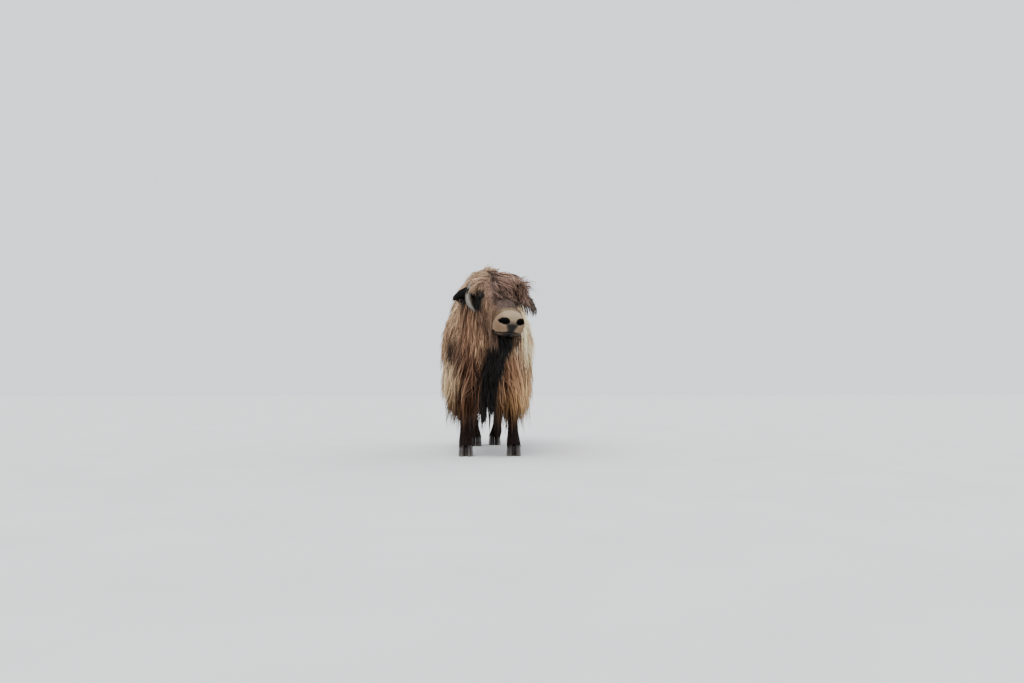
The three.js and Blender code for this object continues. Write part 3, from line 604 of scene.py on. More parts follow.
@dataclass
class Face:
    """The bare head with the forms of brow, cheek, muzzle, lips and nostrils."""

    sides: int = 150
    swellings: tuple[Swelling, ...] = (
        Swelling(0.132, 0.086, 0.050, 0.034, 0.010),
        Swelling(0.168, 0.112, 0.005, 0.026, -0.004),
        Swelling(0.206, 0.096, -0.026, 0.034, 0.006),
        Swelling(0.130, 0.110, -0.080, 0.060, 0.008),
        Swelling(0.290, 0.060, 0.034, 0.040, -0.005),
        Swelling(0.455, 0.060, 0.016, 0.021, 0.008),
        Swelling(0.440, 0.084, -0.046, 0.030, 0.005),
        Swelling(0.462, 0.030, -0.050, 0.026, 0.004),
        Swelling(0.446, 0.000, -0.118, 0.040, 0.007),
        Swelling(0.380, 0.000, 0.052, 0.050, 0.004),
    )
    lip_depth: float = 0.008
    lip_half: float = 0.0036
    mouth_from: float = 0.400
    dome_rings: int = 24
    crown_rings: int = 4
    philtrum_depth: float = 0.0035
    fold_height: float = 0.0007

    def surface(self) -> Surface:
        """Returns the head's bare skin, without lids, nostrils and ears."""
        back = np.linspace(-0.09, 0.28, 26, endpoint=False)
        eyes = np.linspace(0.28, 0.44, 26, endpoint=False)
        bridge = np.linspace(0.44, 0.76, 24, endpoint=False)
        muzzle = np.linspace(0.76, 1.0, 52)
        share = np.concatenate([back, eyes, bridge, muzzle])
        read = along(SKULL[:, 0], SKULL[:, 1:], share)
        sink = read[:, 5]
        sizes = read[:, :5] + sink[:, None] * np.array([0, 1, -1, 0, 0])
        down = share * HEAD_LENGTH
        centre = np.stack([np.zeros_like(down), -down, -sink], axis=1)
        right, up = (np.tile(axis, (len(share), 1)) for axis in (ACROSS, UP))
        rings = section_points(centre, right, up, sizes, circle(self.sides))
        shaped = self.shaped(self.domed(rings))
        return Surface(shaped @ HEAD.turn.T + np.array(HEAD.poll))

    def domed(self, rings: Array) -> Array:
        """Closes the muzzle's front and the back of the crown with low domes."""
        turns = np.radians(np.linspace(4, 88, self.dome_rings))
        ends = []
        for ring, swell in ((rings[-1], -0.009), (rings[0], 0.016)):
            middle = ring.mean(axis=0)
            spread = ring - middle
            ends.append([
                middle + spread * math.cos(a) + np.array([0, swell * math.sin(a), 0]) for a in turns
            ])
        coarse = self.dome_rings // self.crown_rings
        return np.array([*ends[1][::-coarse], *rings, *ends[0]])

    def shaped(self, rings: Array) -> Array:
        """Raises the face's swellings and sinks the line of the mouth.

        Args:
            rings: The plain head in its own axes, (r, v, 3).

        Returns:
            The shaped rings.
        """
        du = np.gradient(rings, axis=0)
        dv = np.roll(rings, -1, axis=1) - np.roll(rings, 1, axis=1)
        normal = unit(np.cross(du, dv))
        outward = np.einsum("rvi,rvi->rv", normal, rings - rings.mean(axis=1, keepdims=True))
        outward[-self.dome_rings:] = -normal[-self.dome_rings:, :, 1]
        outward[:self.crown_rings] = normal[:self.crown_rings, :, 1]
        normal *= np.where(outward < 0, -1, 1)[..., None]
        left, down, rise = rings[..., 0], -rings[..., 1], rings[..., 2]
        lift = np.zeros_like(left)
        for s in self.swellings:
            far = (down - s.down) ** 2 + (np.abs(left) - s.left) ** 2 + (rise - s.rise) ** 2
            lift += s.height * np.exp(-far / s.radius**2)
        lift += self.mouth(down, left, rise)
        philtrum = np.exp(-((left / 0.0035) ** 2)) * ease(-0.070, -0.055, rise)
        philtrum *= ease(0.0, -0.02, rise)
        lift -= self.philtrum_depth * philtrum * ease(0.465, 0.478, down)
        folds = np.sin(down * 520 + rise * 160) * ease(0.045, 0.075, np.abs(left))
        front = self.fold_height * folds * ease(0.36, 0.42, down)
        lift += front * ease(-0.11, -0.08, rise)
        return rings + normal * lift[..., None]

    def mouth(self, down: Array, left: Array, rise: Array) -> Array:
        """Returns the mouth line's depth, with the lips full on either side of it."""
        off = (rise - lip_rise(down, left)) / self.lip_half
        reach = ease(self.mouth_from, self.mouth_from + 0.014, down)
        groove = -self.lip_depth * np.exp(-(off**2))
        upper = 0.0035 * np.exp(-((off - 3.2) ** 2) / 5)
        lower = 0.0030 * np.exp(-((off + 3.0) ** 2) / 5)
        return reach * (groove + upper + lower)


@dataclass(frozen=True)
class Leg:
    """One leg: where its hoof stands, and whether it is a fore leg."""

    name: str
    x: float
    y: float
    fore: bool

    def table(self) -> Array:
        """Returns the leg's stations from the body down."""
        root = math.copysign(0.168 if self.fore else 0.150, self.x)
        top = 0.62 if self.fore else 0.70
        y = self.y
        rows = (
            [(0.620, 0.060, 0.150, 0.215), (0.500, 0.040, 0.126, 0.166),
             (0.400, y + 0.006, 0.098, 0.108), (0.330, y, 0.089, 0.093),
             (0.250, y + 0.008, 0.064, 0.068), (0.170, y + 0.008, 0.066, 0.072),
             (0.115, y + 0.002, 0.082, 0.088), (0.072, y - 0.012, 0.089, 0.097)]
            if self.fore else
            [(0.700, y - 0.110, 0.165, 0.310), (0.560, y - 0.060, 0.126, 0.195),
             (0.455, y + 0.040, 0.083, 0.118), (0.385, y + 0.062, 0.072, 0.097),
             (0.280, y + 0.040, 0.062, 0.072), (0.180, y + 0.018, 0.064, 0.072),
             (0.120, y + 0.004, 0.080, 0.088), (0.072, y - 0.012, 0.087, 0.095)]
        )
        lean = [self.x + (root - self.x) * min(max(z / top, 0), 1) for z, *_ in rows]
        lean[-1] = self.x
        return np.array([[x, at, z, wide, deep] for x, (z, at, wide, deep) in zip(lean, rows)])

    def surface(self) -> Surface:
        """Returns the leg's bare skin."""
        return limb_surface(self.table(), 54, 32)


LEGS = (
    Leg("front_left", 0.186, 0.010, True),
    Leg("front_right", -0.150, -0.010, True),
    Leg("hind_left", 0.062, 1.060, False),
    Leg("hind_right", -0.098, 0.960, False),
)


@dataclass(frozen=True)
class Ear:
    """One ear: a drooping leaf, hollowed on its front.

    Attributes:
        side: The side it grows on.
        tip: Its tip as distance down, out and rise in the head's measures.
    """

    side: Side
    tip: Triple
    root: Triple = (0.034, 0.092, -0.016)
    half_widths: tuple[float, ...] = (0.019, 0.032, 0.041, 0.041, 0.029, 0.003)
    rings: int = 26
    sides: int = 30

    def ends(self) -> Pair:
        """Returns the places of the root and the tip."""
        sign = self.side.value
        made = [HEAD.point(down, sign * out, rise) for down, out, rise in (self.root, self.tip)]
        return made[0], made[1]

    def axes(self) -> tuple[Array, Array, Array]:
        """Returns the ear's line, its face and its width as directions."""
        root, tip = self.ends()
        line = unit(tip - root)
        face = HEAD.vector(1, 0, -0.55)
        thick = unit(face - line * (face @ line))
        return line, thick, unit(np.cross(thick, line))

    def leaf(self, scale: float, forward: float, thin: float) -> Surface:
        """Returns a leaf about the ear's line.

        Args:
            scale: Its size against the whole ear.
            forward: How far it is moved to the ear's front.
            thin: Its thickness against the whole ear's.

        Returns:
            The leaf's surface.
        """
        root, tip = self.ends()
        _, thick, wide = self.axes()
        t = np.linspace(0, 1, self.rings)
        stations = np.linspace(0, 1, len(self.half_widths))
        widths = along(stations, np.array(self.half_widths), t) * scale
        bow = (0.007 + 0.010 * np.sin(np.pi * t)) * scale * thin
        centre = root + (tip - root) * (t * scale)[:, None] + thick * forward
        sizes = np.stack([widths, bow, bow, np.full_like(t, 2), np.full_like(t, 2)], axis=1)
        right, up = (np.tile(axis, (self.rings, 1)) for axis in (wide, thick))
        return Surface(section_points(centre, right, up, sizes, circle(self.sides)))


EARS = (
    Ear(Side.LEFT, (0.104, 0.288, -0.062)),
    Ear(Side.RIGHT, (0.030, 0.232, -0.112)),
)


def ball_surface(
    centre: Array, radius: float, axes: Array, rings: int = 24, sides: int = 32
) -> Surface:
    """Makes an ellipsoid whose poles lie on its third axis.

    Args:
        centre: Its middle.
        radius: Its radius before the axes stretch it.
        axes: Its three axes as rows, whose lengths stretch it.
        rings: Rings from pole to pole.
        sides: Points in a ring.

    Returns:
        The ellipsoid.
    """
    polar = np.linspace(0.04, np.pi - 0.04, rings)[:, None]
    turn = circle(sides)[None]
    flat = (np.sin(polar) * np.cos(turn), np.sin(polar) * np.sin(turn))
    local = np.stack([*flat, np.cos(polar) + 0 * turn], axis=-1)
    return Surface(centre + radius * local @ axes)


@dataclass(frozen=True)
class Eye:
    """One eye with its socket and lids, in the head's own measures."""

    side: Side
    down: float = EYE_PLACE[0]
    out: float = EYE_PLACE[1]
    rise: float = EYE_PLACE[2]
    half_length: float = 0.0185
    half_height: float = 0.0115

    @property
    def centre(self) -> Array:
        """The eyeball's middle."""
        return HEAD.point(self.down, self.side.value * self.out, self.rise)

    def axes(self) -> Array:
        """Returns the eye's long axis, its height and the way it looks, as rows."""
        look = unit(self.centre - HEAD.point(self.down, 0.0, 0.012))
        length = HEAD.vector(1, 0, -0.22)
        length = unit(length - look * (length @ look))
        height = np.cross(look, length) * -self.side.value
        return np.array([length, unit(height), look])

    def almond(self, count: int, grow: float = 0.0) -> Array:
        """Returns the lids' opening as flat offsets along the eye's length and height."""
        turn = circle(count)
        length = (self.half_length + grow) * np.cos(turn)
        taper = 1 - 0.35 * np.abs(np.cos(turn)) ** 3
        height = (self.half_height + grow) * np.sin(turn) * taper
        return np.stack([length, height + 0.0012 * (np.sin(turn) > 0)], axis=1)

    def on_ball(self, flat: Array, radius: float) -> Array:
        """Lays flat offsets on a ball round the eye."""
        axes = self.axes()
        deep = np.sqrt(np.maximum(radius**2 - (flat**2).sum(axis=1), 1e-8))
        return self.centre + flat @ axes[:2] + deep[:, None] * axes[2]

    def lid_ball(self) -> Surface:
        """Returns the bulge of skin over the eyeball."""
        return ball_surface(self.centre, EYEBALL_RADIUS + 0.0045, self.axes())

    def socket(self) -> Surface:
        """Returns the hollow that holds the eyeball."""
        return ball_surface(self.centre, EYEBALL_RADIUS + 0.0006, self.axes())

    def opening(self) -> Surface:
        """Returns the cut between the lids."""
        axes = self.axes()
        flat = self.almond(40)
        stages = ((0.98, 0.004), (1, 0.016), (1.04, 0.03), (1.1, 0.06))
        rings = [self.centre + flat @ axes[:2] * size + axes[2] * deep for size, deep in stages]
        return Surface(np.array(rings))

    def rim(
        self, grow: float, radius: float, thick: tuple[float, float]
    ) -> tuple[Array, Faces]:
        """Makes a closed fold of skin that runs round the eye.

        Args:
            grow: How far outside the opening it runs.
            radius: Distance of its middle from the eye's.
            thick: Its radius above and below the eye.

        Returns:
            Its vertices and faces.
        """
        count, sides = 56, 10
        line = self.on_ball(self.almond(count, grow), radius)
        tangent = unit(np.roll(line, -1, axis=0) - np.roll(line, 1, axis=0))
        out = unit(line - self.centre)
        side = unit(np.cross(tangent, out))
        upper = (line - self.centre) @ self.axes()[1] > 0
        size = np.where(upper, thick[0], thick[1])
        size = (size + np.roll(size, 1) + np.roll(size, -1)) / 3
        turn = circle(sides)
        cos, sin = np.cos(turn)[None, :, None], np.sin(turn)[None, :, None]
        ring = side[:, None] * cos + out[:, None] * sin * 0.8
        verts = (line[:, None] + ring * size[:, None, None]).reshape(-1, 3)
        faces = []
        for r in range(count):
            for i in range(sides):
                a, b = r * sides + i, r * sides + (i + 1) % sides
                c, d = (r + 1) % count * sides + (i + 1) % sides, (r + 1) % count * sides + i
                faces.append([a, b, c, d])
        if Surface.volume(verts, faces) < 0:
            faces = [face[::-1] for face in faces]
        return verts, faces


EYES = (Eye(Side.LEFT), Eye(Side.RIGHT))


def nostril_surfaces(side: Side) -> list[Surface]:
    """Returns the round pit and the slit of one nostril.

    Args:
        side: Which nostril.

    Returns:
        Two closed surfaces.
    """
    s = side.value
    a = math.radians(24) * s
    right = HEAD.vector(-math.sin(a), math.cos(a), 0.0)
    front = HEAD.vector(math.cos(a), math.sin(a), 0.0)
    axes = np.array([right, HEAD.vector(0, 0, 1), front])
    made = []
    for (down, out, rise), radius, stretch in (
        (NOSTRIL_PIT, 0.0235, (1.28, 0.86, 1.20)),
        (NOSTRIL_SLIT, 0.0150, (1.30, 0.80, 1.35)),
    ):
        stretched = axes * np.array(stretch)[:, None]
        made.append(ball_surface(HEAD.point(down, s * out, rise), radius, stretched))
    return made


# The colours of the animal's own markings.
GOLD = srgb(182, 153, 126)
TAN = srgb(166, 137, 110)
STRAW = srgb(203, 177, 139)
CREAMY = srgb(242, 213, 172)
AMBER = srgb(198, 161, 117)
BROWN = srgb(128, 97, 73)
DARK = srgb(62, 36, 18)
BLACK = srgb(12, 8, 5)
LEG = srgb(36, 20, 12)
BRIDGE = srgb(102, 85, 77)
CREAM = srgb(144, 124, 99)
CURL = srgb(136, 108, 93)
NOSE = srgb(14, 12, 10)
LIP = srgb(30, 23, 18)
CHEEK = srgb(119, 93, 74)
FLUFF = srgb(92, 80, 70)
MUSHROOM = srgb(110, 86, 65)


@dataclass(frozen=True)
class Marking:
    """A patch of colour with soft edges.

    Attributes:
        middle: Its middle in the animal's coordinates.
        reach: How far it spreads along each axis.
        colour: Its linear colour.
        strength: How much it outweighs its neighbours.
    """

    middle: Triple
    reach: Triple
    colour: Array
    strength: float = 1.0

    def weight(self, points: Array) -> Array:
        """Returns how strongly the patch counts at each point."""
        far = ((points - np.array(self.middle)) / np.array(self.reach)) ** 2
        return self.strength * np.exp(-far.sum(axis=-1))


BODY_MARKINGS = tuple(Marking(*row) for row in (
    ((0.00, 0.10, 1.36), (0.26, 0.40, 0.16), GOLD, 2.0),
    ((0.00, 0.75, 1.22), (0.30, 0.60, 0.14), GOLD, 1.4),
    ((-0.32, 0.25, 0.86), (0.08, 0.40, 0.14), srgb(140, 112, 86), 2.6),
    ((-0.32, 0.25, 0.50), (0.09, 0.40, 0.11), STRAW, 3.0),
    ((-0.285, 0.00, 0.715), (0.036, 0.16, 0.055), DARK * 0.3, 80.0),
    ((-0.16, -0.05, 0.72), (0.08, 0.20, 0.14), srgb(104, 74, 57), 2.4),
    ((-0.19, -0.02, 0.52), (0.07, 0.18, 0.08), BROWN, 2.4),
    ((-0.22, 0.05, 0.34), (0.08, 0.22, 0.075), srgb(72, 45, 22), 3.2),
    ((-0.11, -0.15, 0.56), (0.06, 0.20, 0.16), srgb(90, 61, 43), 2.6),
    ((0.015, -0.15, 0.47), (0.055, 0.20, 0.20), BLACK * 2, 5.0),
    ((0.13, -0.12, 0.54), (0.07, 0.20, 0.12), srgb(158, 118, 88), 3.0),
    ((0.14, -0.05, 0.40), (0.08, 0.20, 0.07), srgb(146, 108, 72), 2.8),
    ((0.13, 0.00, 0.27), (0.08, 0.25, 0.06), srgb(76, 51, 28), 2.8),
    ((0.20, 0.10, 0.33), (0.07, 0.25, 0.06), srgb(170, 130, 84), 2.6),
    ((0.29, 0.15, 0.85), (0.10, 0.40, 0.14), CREAMY, 3.2),
    ((0.30, 0.20, 0.58), (0.08, 0.30, 0.07), srgb(156, 126, 95), 2.8),
    ((0.28, 0.20, 0.44), (0.10, 0.35, 0.08), AMBER, 2.8),
    ((0.20, -0.15, 0.80), (0.06, 0.12, 0.12), BROWN, 1.8),
    ((0.33, 0.65, 0.80), (0.12, 0.35, 0.20), STRAW, 1.5),
    ((-0.33, 0.65, 0.80), (0.12, 0.35, 0.20), TAN, 1.5),
    ((0.33, 0.95, 0.95), (0.14, 0.22, 0.18), TAN, 1.4),
    ((-0.33, 0.95, 0.95), (0.14, 0.22, 0.18), BROWN, 1.4),
    ((0.32, 0.80, 0.45), (0.12, 0.40, 0.12), AMBER, 1.5),
    ((-0.32, 0.80, 0.45), (0.12, 0.40, 0.12), AMBER, 1.5),
    ((0.00, 1.22, 0.90), (0.30, 0.16, 0.28), TAN, 1.3),
    ((0.00, 1.15, 0.50), (0.30, 0.26, 0.16), BROWN, 1.4),
    ((0.00, 0.60, 0.40), (0.16, 0.60, 0.12), srgb(84, 58, 40), 1.8),
))

NECK_MARKINGS = tuple(Marking(*row) for row in (
    ((0.00, -0.10, 1.26), (0.22, 0.30, 0.12), GOLD, 2.4),
    ((-0.125, -0.30, 1.03), (0.045, 0.14, 0.05), BLACK, 8.0),
    ((-0.22, -0.05, 0.92), (0.06, 0.25, 0.16), srgb(154, 125, 98), 3.0),
    ((-0.14, -0.20, 0.90), (0.045, 0.25, 0.16), srgb(122, 90, 68), 3.2),
    ((-0.07, -0.30, 0.88), (0.05, 0.25, 0.16), srgb(170, 134, 106), 3.2),
    ((0.00, -0.40, 0.85), (0.06, 0.16, 0.14), BROWN, 1.6),
    ((0.20, -0.10, 1.05), (0.10, 0.25, 0.18), GOLD, 2.0),
    ((0.24, -0.10, 0.82), (0.08, 0.25, 0.12), CREAMY, 2.6),
    ((0.15, -0.25, 0.78), (0.05, 0.20, 0.10), BROWN, 2.4),
))


def blended(markings: tuple[Marking, ...], points: Array) -> Array:
    """Mixes patches of colour by how strongly each counts.

    Args:
        markings: The patches.
        points: Places, (n, 3).

    Returns:
        Linear colours, (n, 3).
    """
    weights = np.stack([m.weight(points) for m in markings], axis=-1) + 1e-6
    weights = weights**1.5
    colours = np.stack([m.colour for m in markings])
    return (weights @ colours) / weights.sum(axis=-1, keepdims=True)


def from_eye(down: Array, rise: Array, stretch: float = 1.0) -> Array:
    """Returns the distance from the eye on the side of the face."""
    return np.hypot((down - EYE_PLACE[0]) / stretch, rise - EYE_PLACE[2])


def past_parting(down: Array, left: Array) -> Array:
    """Returns how far a place lies to the left of the crown's parting."""
    return left + 0.020 + 0.24 * np.maximum(down, 0)


def head_colours(points: Array) -> Pair:
    """Returns the colours of the head: brown crown, grey bridge, cream muzzle, dark nose, with painted
    shade in and under the nostrils, on the muzzle's sides and behind the horns.

    Args:
        points: Places in the animal's coordinates, (n, 3).

    Returns:
        Linear colours, and how bare and moist the skin is.
    """
    down, left, rise = HEAD.local(points)
    colour = np.tile(CURL, (len(points), 1))
    aside = np.abs(left)

    def paint(mask: Array, tint: Array) -> None:
        """Lays a tint over the colour by a mask."""
        nonlocal colour
        colour = colour * (1 - mask[:, None]) + tint * mask[:, None]

    paint(ease(0.22, 0.29, down), BRIDGE)
    paint(ease(0.02, -0.05, rise) * ease(0.40, 0.30, down), CHEEK)
    side = ease(0.05, 0.07, aside)
    paint(ease(0.045, 0.0, rise) * ease(0.39, 0.34, down) * side, CHEEK)
    fall, front = 0.588 * down - 0.809 * rise, down + 0.727 * rise
    # Behind the eye, between horn and cheek, painted black: dark hair at the horn's base and painted shade
    # of the gap between horn and cheek.
    hollow = ease(0.068, 0.088, fall) * ease(0.225, 0.190, fall)
    paint(hollow * ease(0.190, 0.150, front), BLACK * 1.5)
    paint(ease(-0.090, -0.112, rise) * ease(0.30, 0.36, down), CHEEK * 0.8)
    side = ease(0.02, 0.08, aside)
    above_chin = ease(-0.108, -0.088, rise)
    paint(ease(0.390 - 0.020 * side, 0.412, down) * above_chin, CREAM)
    # The muzzle's sides turn brown: partly their own tan, partly painted shade on the sides turned from
    # the light.
    flews_tan_and_shade = ease(0.04, 0.09, aside) * ease(0.34, 0.38, down)
    paint(flews_tan_and_shade * above_chin * 0.85, MUSHROOM)
    # Below the nostrils the muzzle is browned: its own brownish grey and painted shade under the nostrils.
    low = ease(-0.010, -0.045, rise) * ease(0.41, 0.45, down)
    paint(low * above_chin * 0.75, MUSHROOM)
    chin = ease(-0.098, -0.112, rise) * ease(0.24, 0.33, down)
    paint(chin * ease(0.060, 0.035, aside), BLACK * 1.3)
    mouth = lip_rise(down, left)
    lip = ease(mouth + 0.006, mouth - 0.003, rise) * ease(0.395, 0.425, down)
    lip *= ease(-0.135, -0.115, rise)
    paler = 0.45 * ease(0.02, 0.07, aside) * ease(mouth - 0.004, mouth - 0.014, rise)
    paint(lip * (1 - paler), LIP)
    waist = 0.037 - 0.016 * ease(-0.020, -0.060, rise)
    pad = ease(0.010, -0.026, rise) * ease(0.446, 0.466, down)
    pad *= ease(0.014, -0.010, aside - waist)
    ridge = ease(0.030, -0.004, rise) * ease(0.45, 0.47, down)
    paint(ridge * ease(0.030, 0.012, aside) * 0.6, FLUFF)
    paint(pad, NOSE)
    wet = np.maximum(pad * 0.5, lip * 0.4)
    for s in (1, -1):
        out = left * s
        pit, slit = (
            np.hypot(np.hypot(down - spot[0], out - spot[1]) / wide, (rise - spot[2]) / high)
            for spot, wide, high in ((NOSTRIL_PIT, 0.0295, 0.0202), (NOSTRIL_SLIT, 0.0195, 0.0120))
        )
        # Each nostril's opening and a band round it are painted near-black: painted shade inside the
        # nostril.
        rim = ease(1.22, 1.04, np.minimum(pit, slit))
        paint(rim, BLACK * 0.7)
        wet = np.maximum(wet, rim * 0.3)
        eye = np.sqrt(((down - EYE_PLACE[0]) / 1.25) ** 2 + (rise - 0.003) ** 2)
        eye = eye + 0.4 * (np.sign(left) != s)
        brow = np.exp(-(((eye - 0.040) / 0.010) ** 2)) * ease(0.0, 0.02, rise)
        paint(brow * 0.5, TAN)
        paint(ease(0.031, 0.021, eye), srgb(34, 25, 20))
        wet = np.maximum(wet, 0.5 * ease(0.024, 0.018, eye))
    return colour, wet


class SkinPart(Enum):
    """The named stretches of the skin, each with its own markings."""

    TRUNK = "trunk"
    NECK = "neck"
    DEWLAP = "dewlap"
    HEAD = "head"
    EAR = "ear"
    LEG = "leg"
    TAIL = "tail"


def part_colours(part: SkinPart, points: Array) -> Array:
    """Returns the coat's colour on a part of the skin.

    Args:
        part: The stretch of skin.
        points: Places in the animal's coordinates, (n, 3).

    Returns:
        Linear colours, (n, 3).
    """
    if part is SkinPart.TRUNK:
        return blended(BODY_MARKINGS, points)
    if part is SkinPart.NECK:
        return blended(NECK_MARKINGS + BODY_MARKINGS, points)
    if part is SkinPart.HEAD:
        return head_colours(points)[0]
    if part is SkinPart.TAIL:
        pale = ease(0.70, 0.40, points[:, 2])[:, None]
        return BROWN * (1 - pale) + TAN * pale
    if part is SkinPart.LEG:
        high = ease(0.40, 0.62, points[:, 2])[:, None]
        return LEG * (1 - high) + BROWN * high
    if part is SkinPart.EAR:
        return np.where(points[:, :1] > 0, FLUFF, BLACK)
    return np.tile(BLACK, (len(points), 1))


@dataclass
class Hide:
    """The whole bare skin: one closed mesh under the coat, and the surfaces it was joined from."""

    surfaces: dict[SkinPart, list[Surface]] = field(default_factory=dict)
    piece: Piece | None = None
    tree: BVHTree | None = None
    skin_tree: BVHTree | None = None
    # Brightness of skin that hair covers: painted shade of the coat over it.
    under_coat_shadow: float = 0.42

    def build(self, material: bpy.types.Material) -> None:
        """Joins every stretch of skin into one mesh and dresses it.

        Args:
            material: The skin's material.
        """
        self.surfaces = {
            SkinPart.TRUNK: [Trunk().surface()],
            SkinPart.NECK: [Neck().surface()],
            SkinPart.DEWLAP: [limb_surface(DEWLAP, 36, 28)],
            SkinPart.HEAD: [Face().surface()],
            SkinPart.EAR: [ear.leaf(1.0, 0.0, 1.0) for ear in EARS],
            SkinPart.LEG: [leg.surface() for leg in LEGS],
            SkinPart.TAIL: [limb_surface(DOCK, 36, 20)],
        }
        head = new_object("skin", *self.surfaces[SkinPart.HEAD][0].mesh())
        combined(head, [self.tool(eye.lid_ball()) for eye in EYES], "UNION")
        cuts = [self.tool(s) for eye in EYES for s in (eye.socket(), eye.opening())]
        cuts += [self.tool(s) for side in Side for s in nostril_surfaces(side)]
        combined(head, cuts, "DIFFERENCE")
        folds = []
        for eye in EYES:
            folds.append(new_object("lid", *eye.rim(0.0018, EYEBALL_RADIUS + 0.0032, (0.0030, 0.0024))))
            folds.append(new_object("fold", *eye.rim(0.0085, EYEBALL_RADIUS + 0.0024, (0.0032, 0.0024))))
        combined(head, folds, "UNION")
        ears = []
        for ear in EARS:
            leaf = new_object("leaf", *ear.leaf(1.0, 0.0, 1.0).mesh())
            combined(leaf, [self.tool(ear.leaf(0.88, 0.0125, 0.95))], "DIFFERENCE")
            ears.append(leaf)
        combined(head, ears, "UNION")
        joined = (part for part in SkinPart if part not in (SkinPart.HEAD, SkinPart.EAR))
        rest = [self.tool(s) for part in joined for s in self.surfaces[part]]
        combined(head, rest, "UNION")
        self.piece = head
        self.piece.data.materials.clear()
        head.data.shade_smooth()
        self.paint()
        self.tree = BVHTree.FromObject(head, bpy.context.evaluated_depsgraph_get())
        self.skin_tree = self.tree
        nodes = ["head", "ear_left", "ear_right", "torso", "neck", "bib", "tail"]
        nodes += [f"leg_{leg.name}_{end}" for leg in LEGS for end in ("upper", "lower")]
        finished(head, nodes, material)

    @staticmethod
    def tool(surface: Surface) -> Piece:
        """Makes an object that is joined or cut and then gone."""
        return new_object("tool", *surface.mesh())

    def paint(self) -> None:
        """Colours the skin with the markings of the coat that grows from it, darkened as painted shade
        where hair covers it; the bare face keeps its full colour.
        """
        verts = corners_of(self.piece) - TO_FRAME
        best = np.full(len(verts), np.inf)
        colours = np.zeros((len(verts), 3))
        wet = np.zeros(len(verts))
        for part, surfaces in self.surfaces.items():
            for surface in surfaces:
                tree = point_tree(surface.points.reshape(-1, 3))
                far = np.array([tree.find(v)[2] for v in verts])
                near = far < best
                best[near] = far[near]
                bare = np.zeros(near.sum())
                wet[near] = 0.0
                if part is SkinPart.HEAD:
                    bare = ease(0.20, 0.25, HEAD.local(verts[near])[0])
                    wet[near] = head_colours(verts[near])[1]
                # Where hair covers the skin it is painted darker, as the shade the coat casts on it.
                shade = self.under_coat_shadow + (1 - self.under_coat_shadow) * bare
                colours[near] = part_colours(part, verts[near]) * shade[:, None]
        colour_attribute(self.piece.data, colours, wet)

    def add(self, pieces: list[Piece]) -> None:
        """Lets hair lie over other pieces too, such as the horns."""
        verts: list[tuple] = []
        faces: list[tuple] = []
        for piece in [self.piece, *pieces]:
            start = len(verts)
            verts += [tuple(v.co) for v in piece.data.vertices]
            faces += [tuple(c + start for c in p.vertices) for p in piece.data.polygons]
        self.tree = BVHTree.FromPolygons(verts, faces)

    def nearest(self, points: Array, bare: bool = False) -> Pair:
        """Finds the nearest places on the skin.

        Args:
            points: Points, (n, 3).
            bare: Whether the skin alone counts, without what hair lies over.

        Returns:
            The places and their outward normals.
        """
        spots, normals = np.empty_like(points), np.empty_like(points)
        find = (self.skin_tree if bare else self.tree).find_nearest
        for i, p in enumerate(points + TO_FRAME):
            spots[i], normals[i], _, _ = find(p)
        return spots - TO_FRAME, normals


@dataclass(frozen=True)
class CoatStyle:
    """How a stretch of coat grows.

    Attributes:
        spacing: Distance between the locks that lead their neighbours.
        followers: Locks that follow each leader.
        length: Length of a lock.
        depth: How far out from the skin the outer locks lie.
        width: Breadth of a lock.
        steps: Sections along a lock.
        gravity: How soon hair turns to hang straight down.
        clump: How far tips draw together to their leader.
        wave: Swing of a lock, as a share of its length.
        coils: How many swings it makes.
        stand: How steeply hair leaves the skin, in degrees.
        spread: Spread of brightness from leader to leader.
        thick: A lock's thickness as a share of its breadth.
        root: Brightness at the roots against that at the tips: below one the roots are painted darker as
            shade deep in the coat, above one they are painted lighter against the shade the blades cast on
            themselves.
        flare: How far hanging hair leans outward, as a share of its fall.
        mingle: How far from its place a lock may take its colour.
    """

    spacing: float
    followers: float
    length: float
    depth: float
    width: float
    steps: int = 5
    gravity: float = 0.7
    clump: float = 0.6
    wave: float = 0.03
    coils: float = 1.2
    stand: float = 25.0
    spread: float = 0.20
    thick: float = 0.45
    root: float = 0.50
    flare: float = 0.0
    mingle: float = 0.0


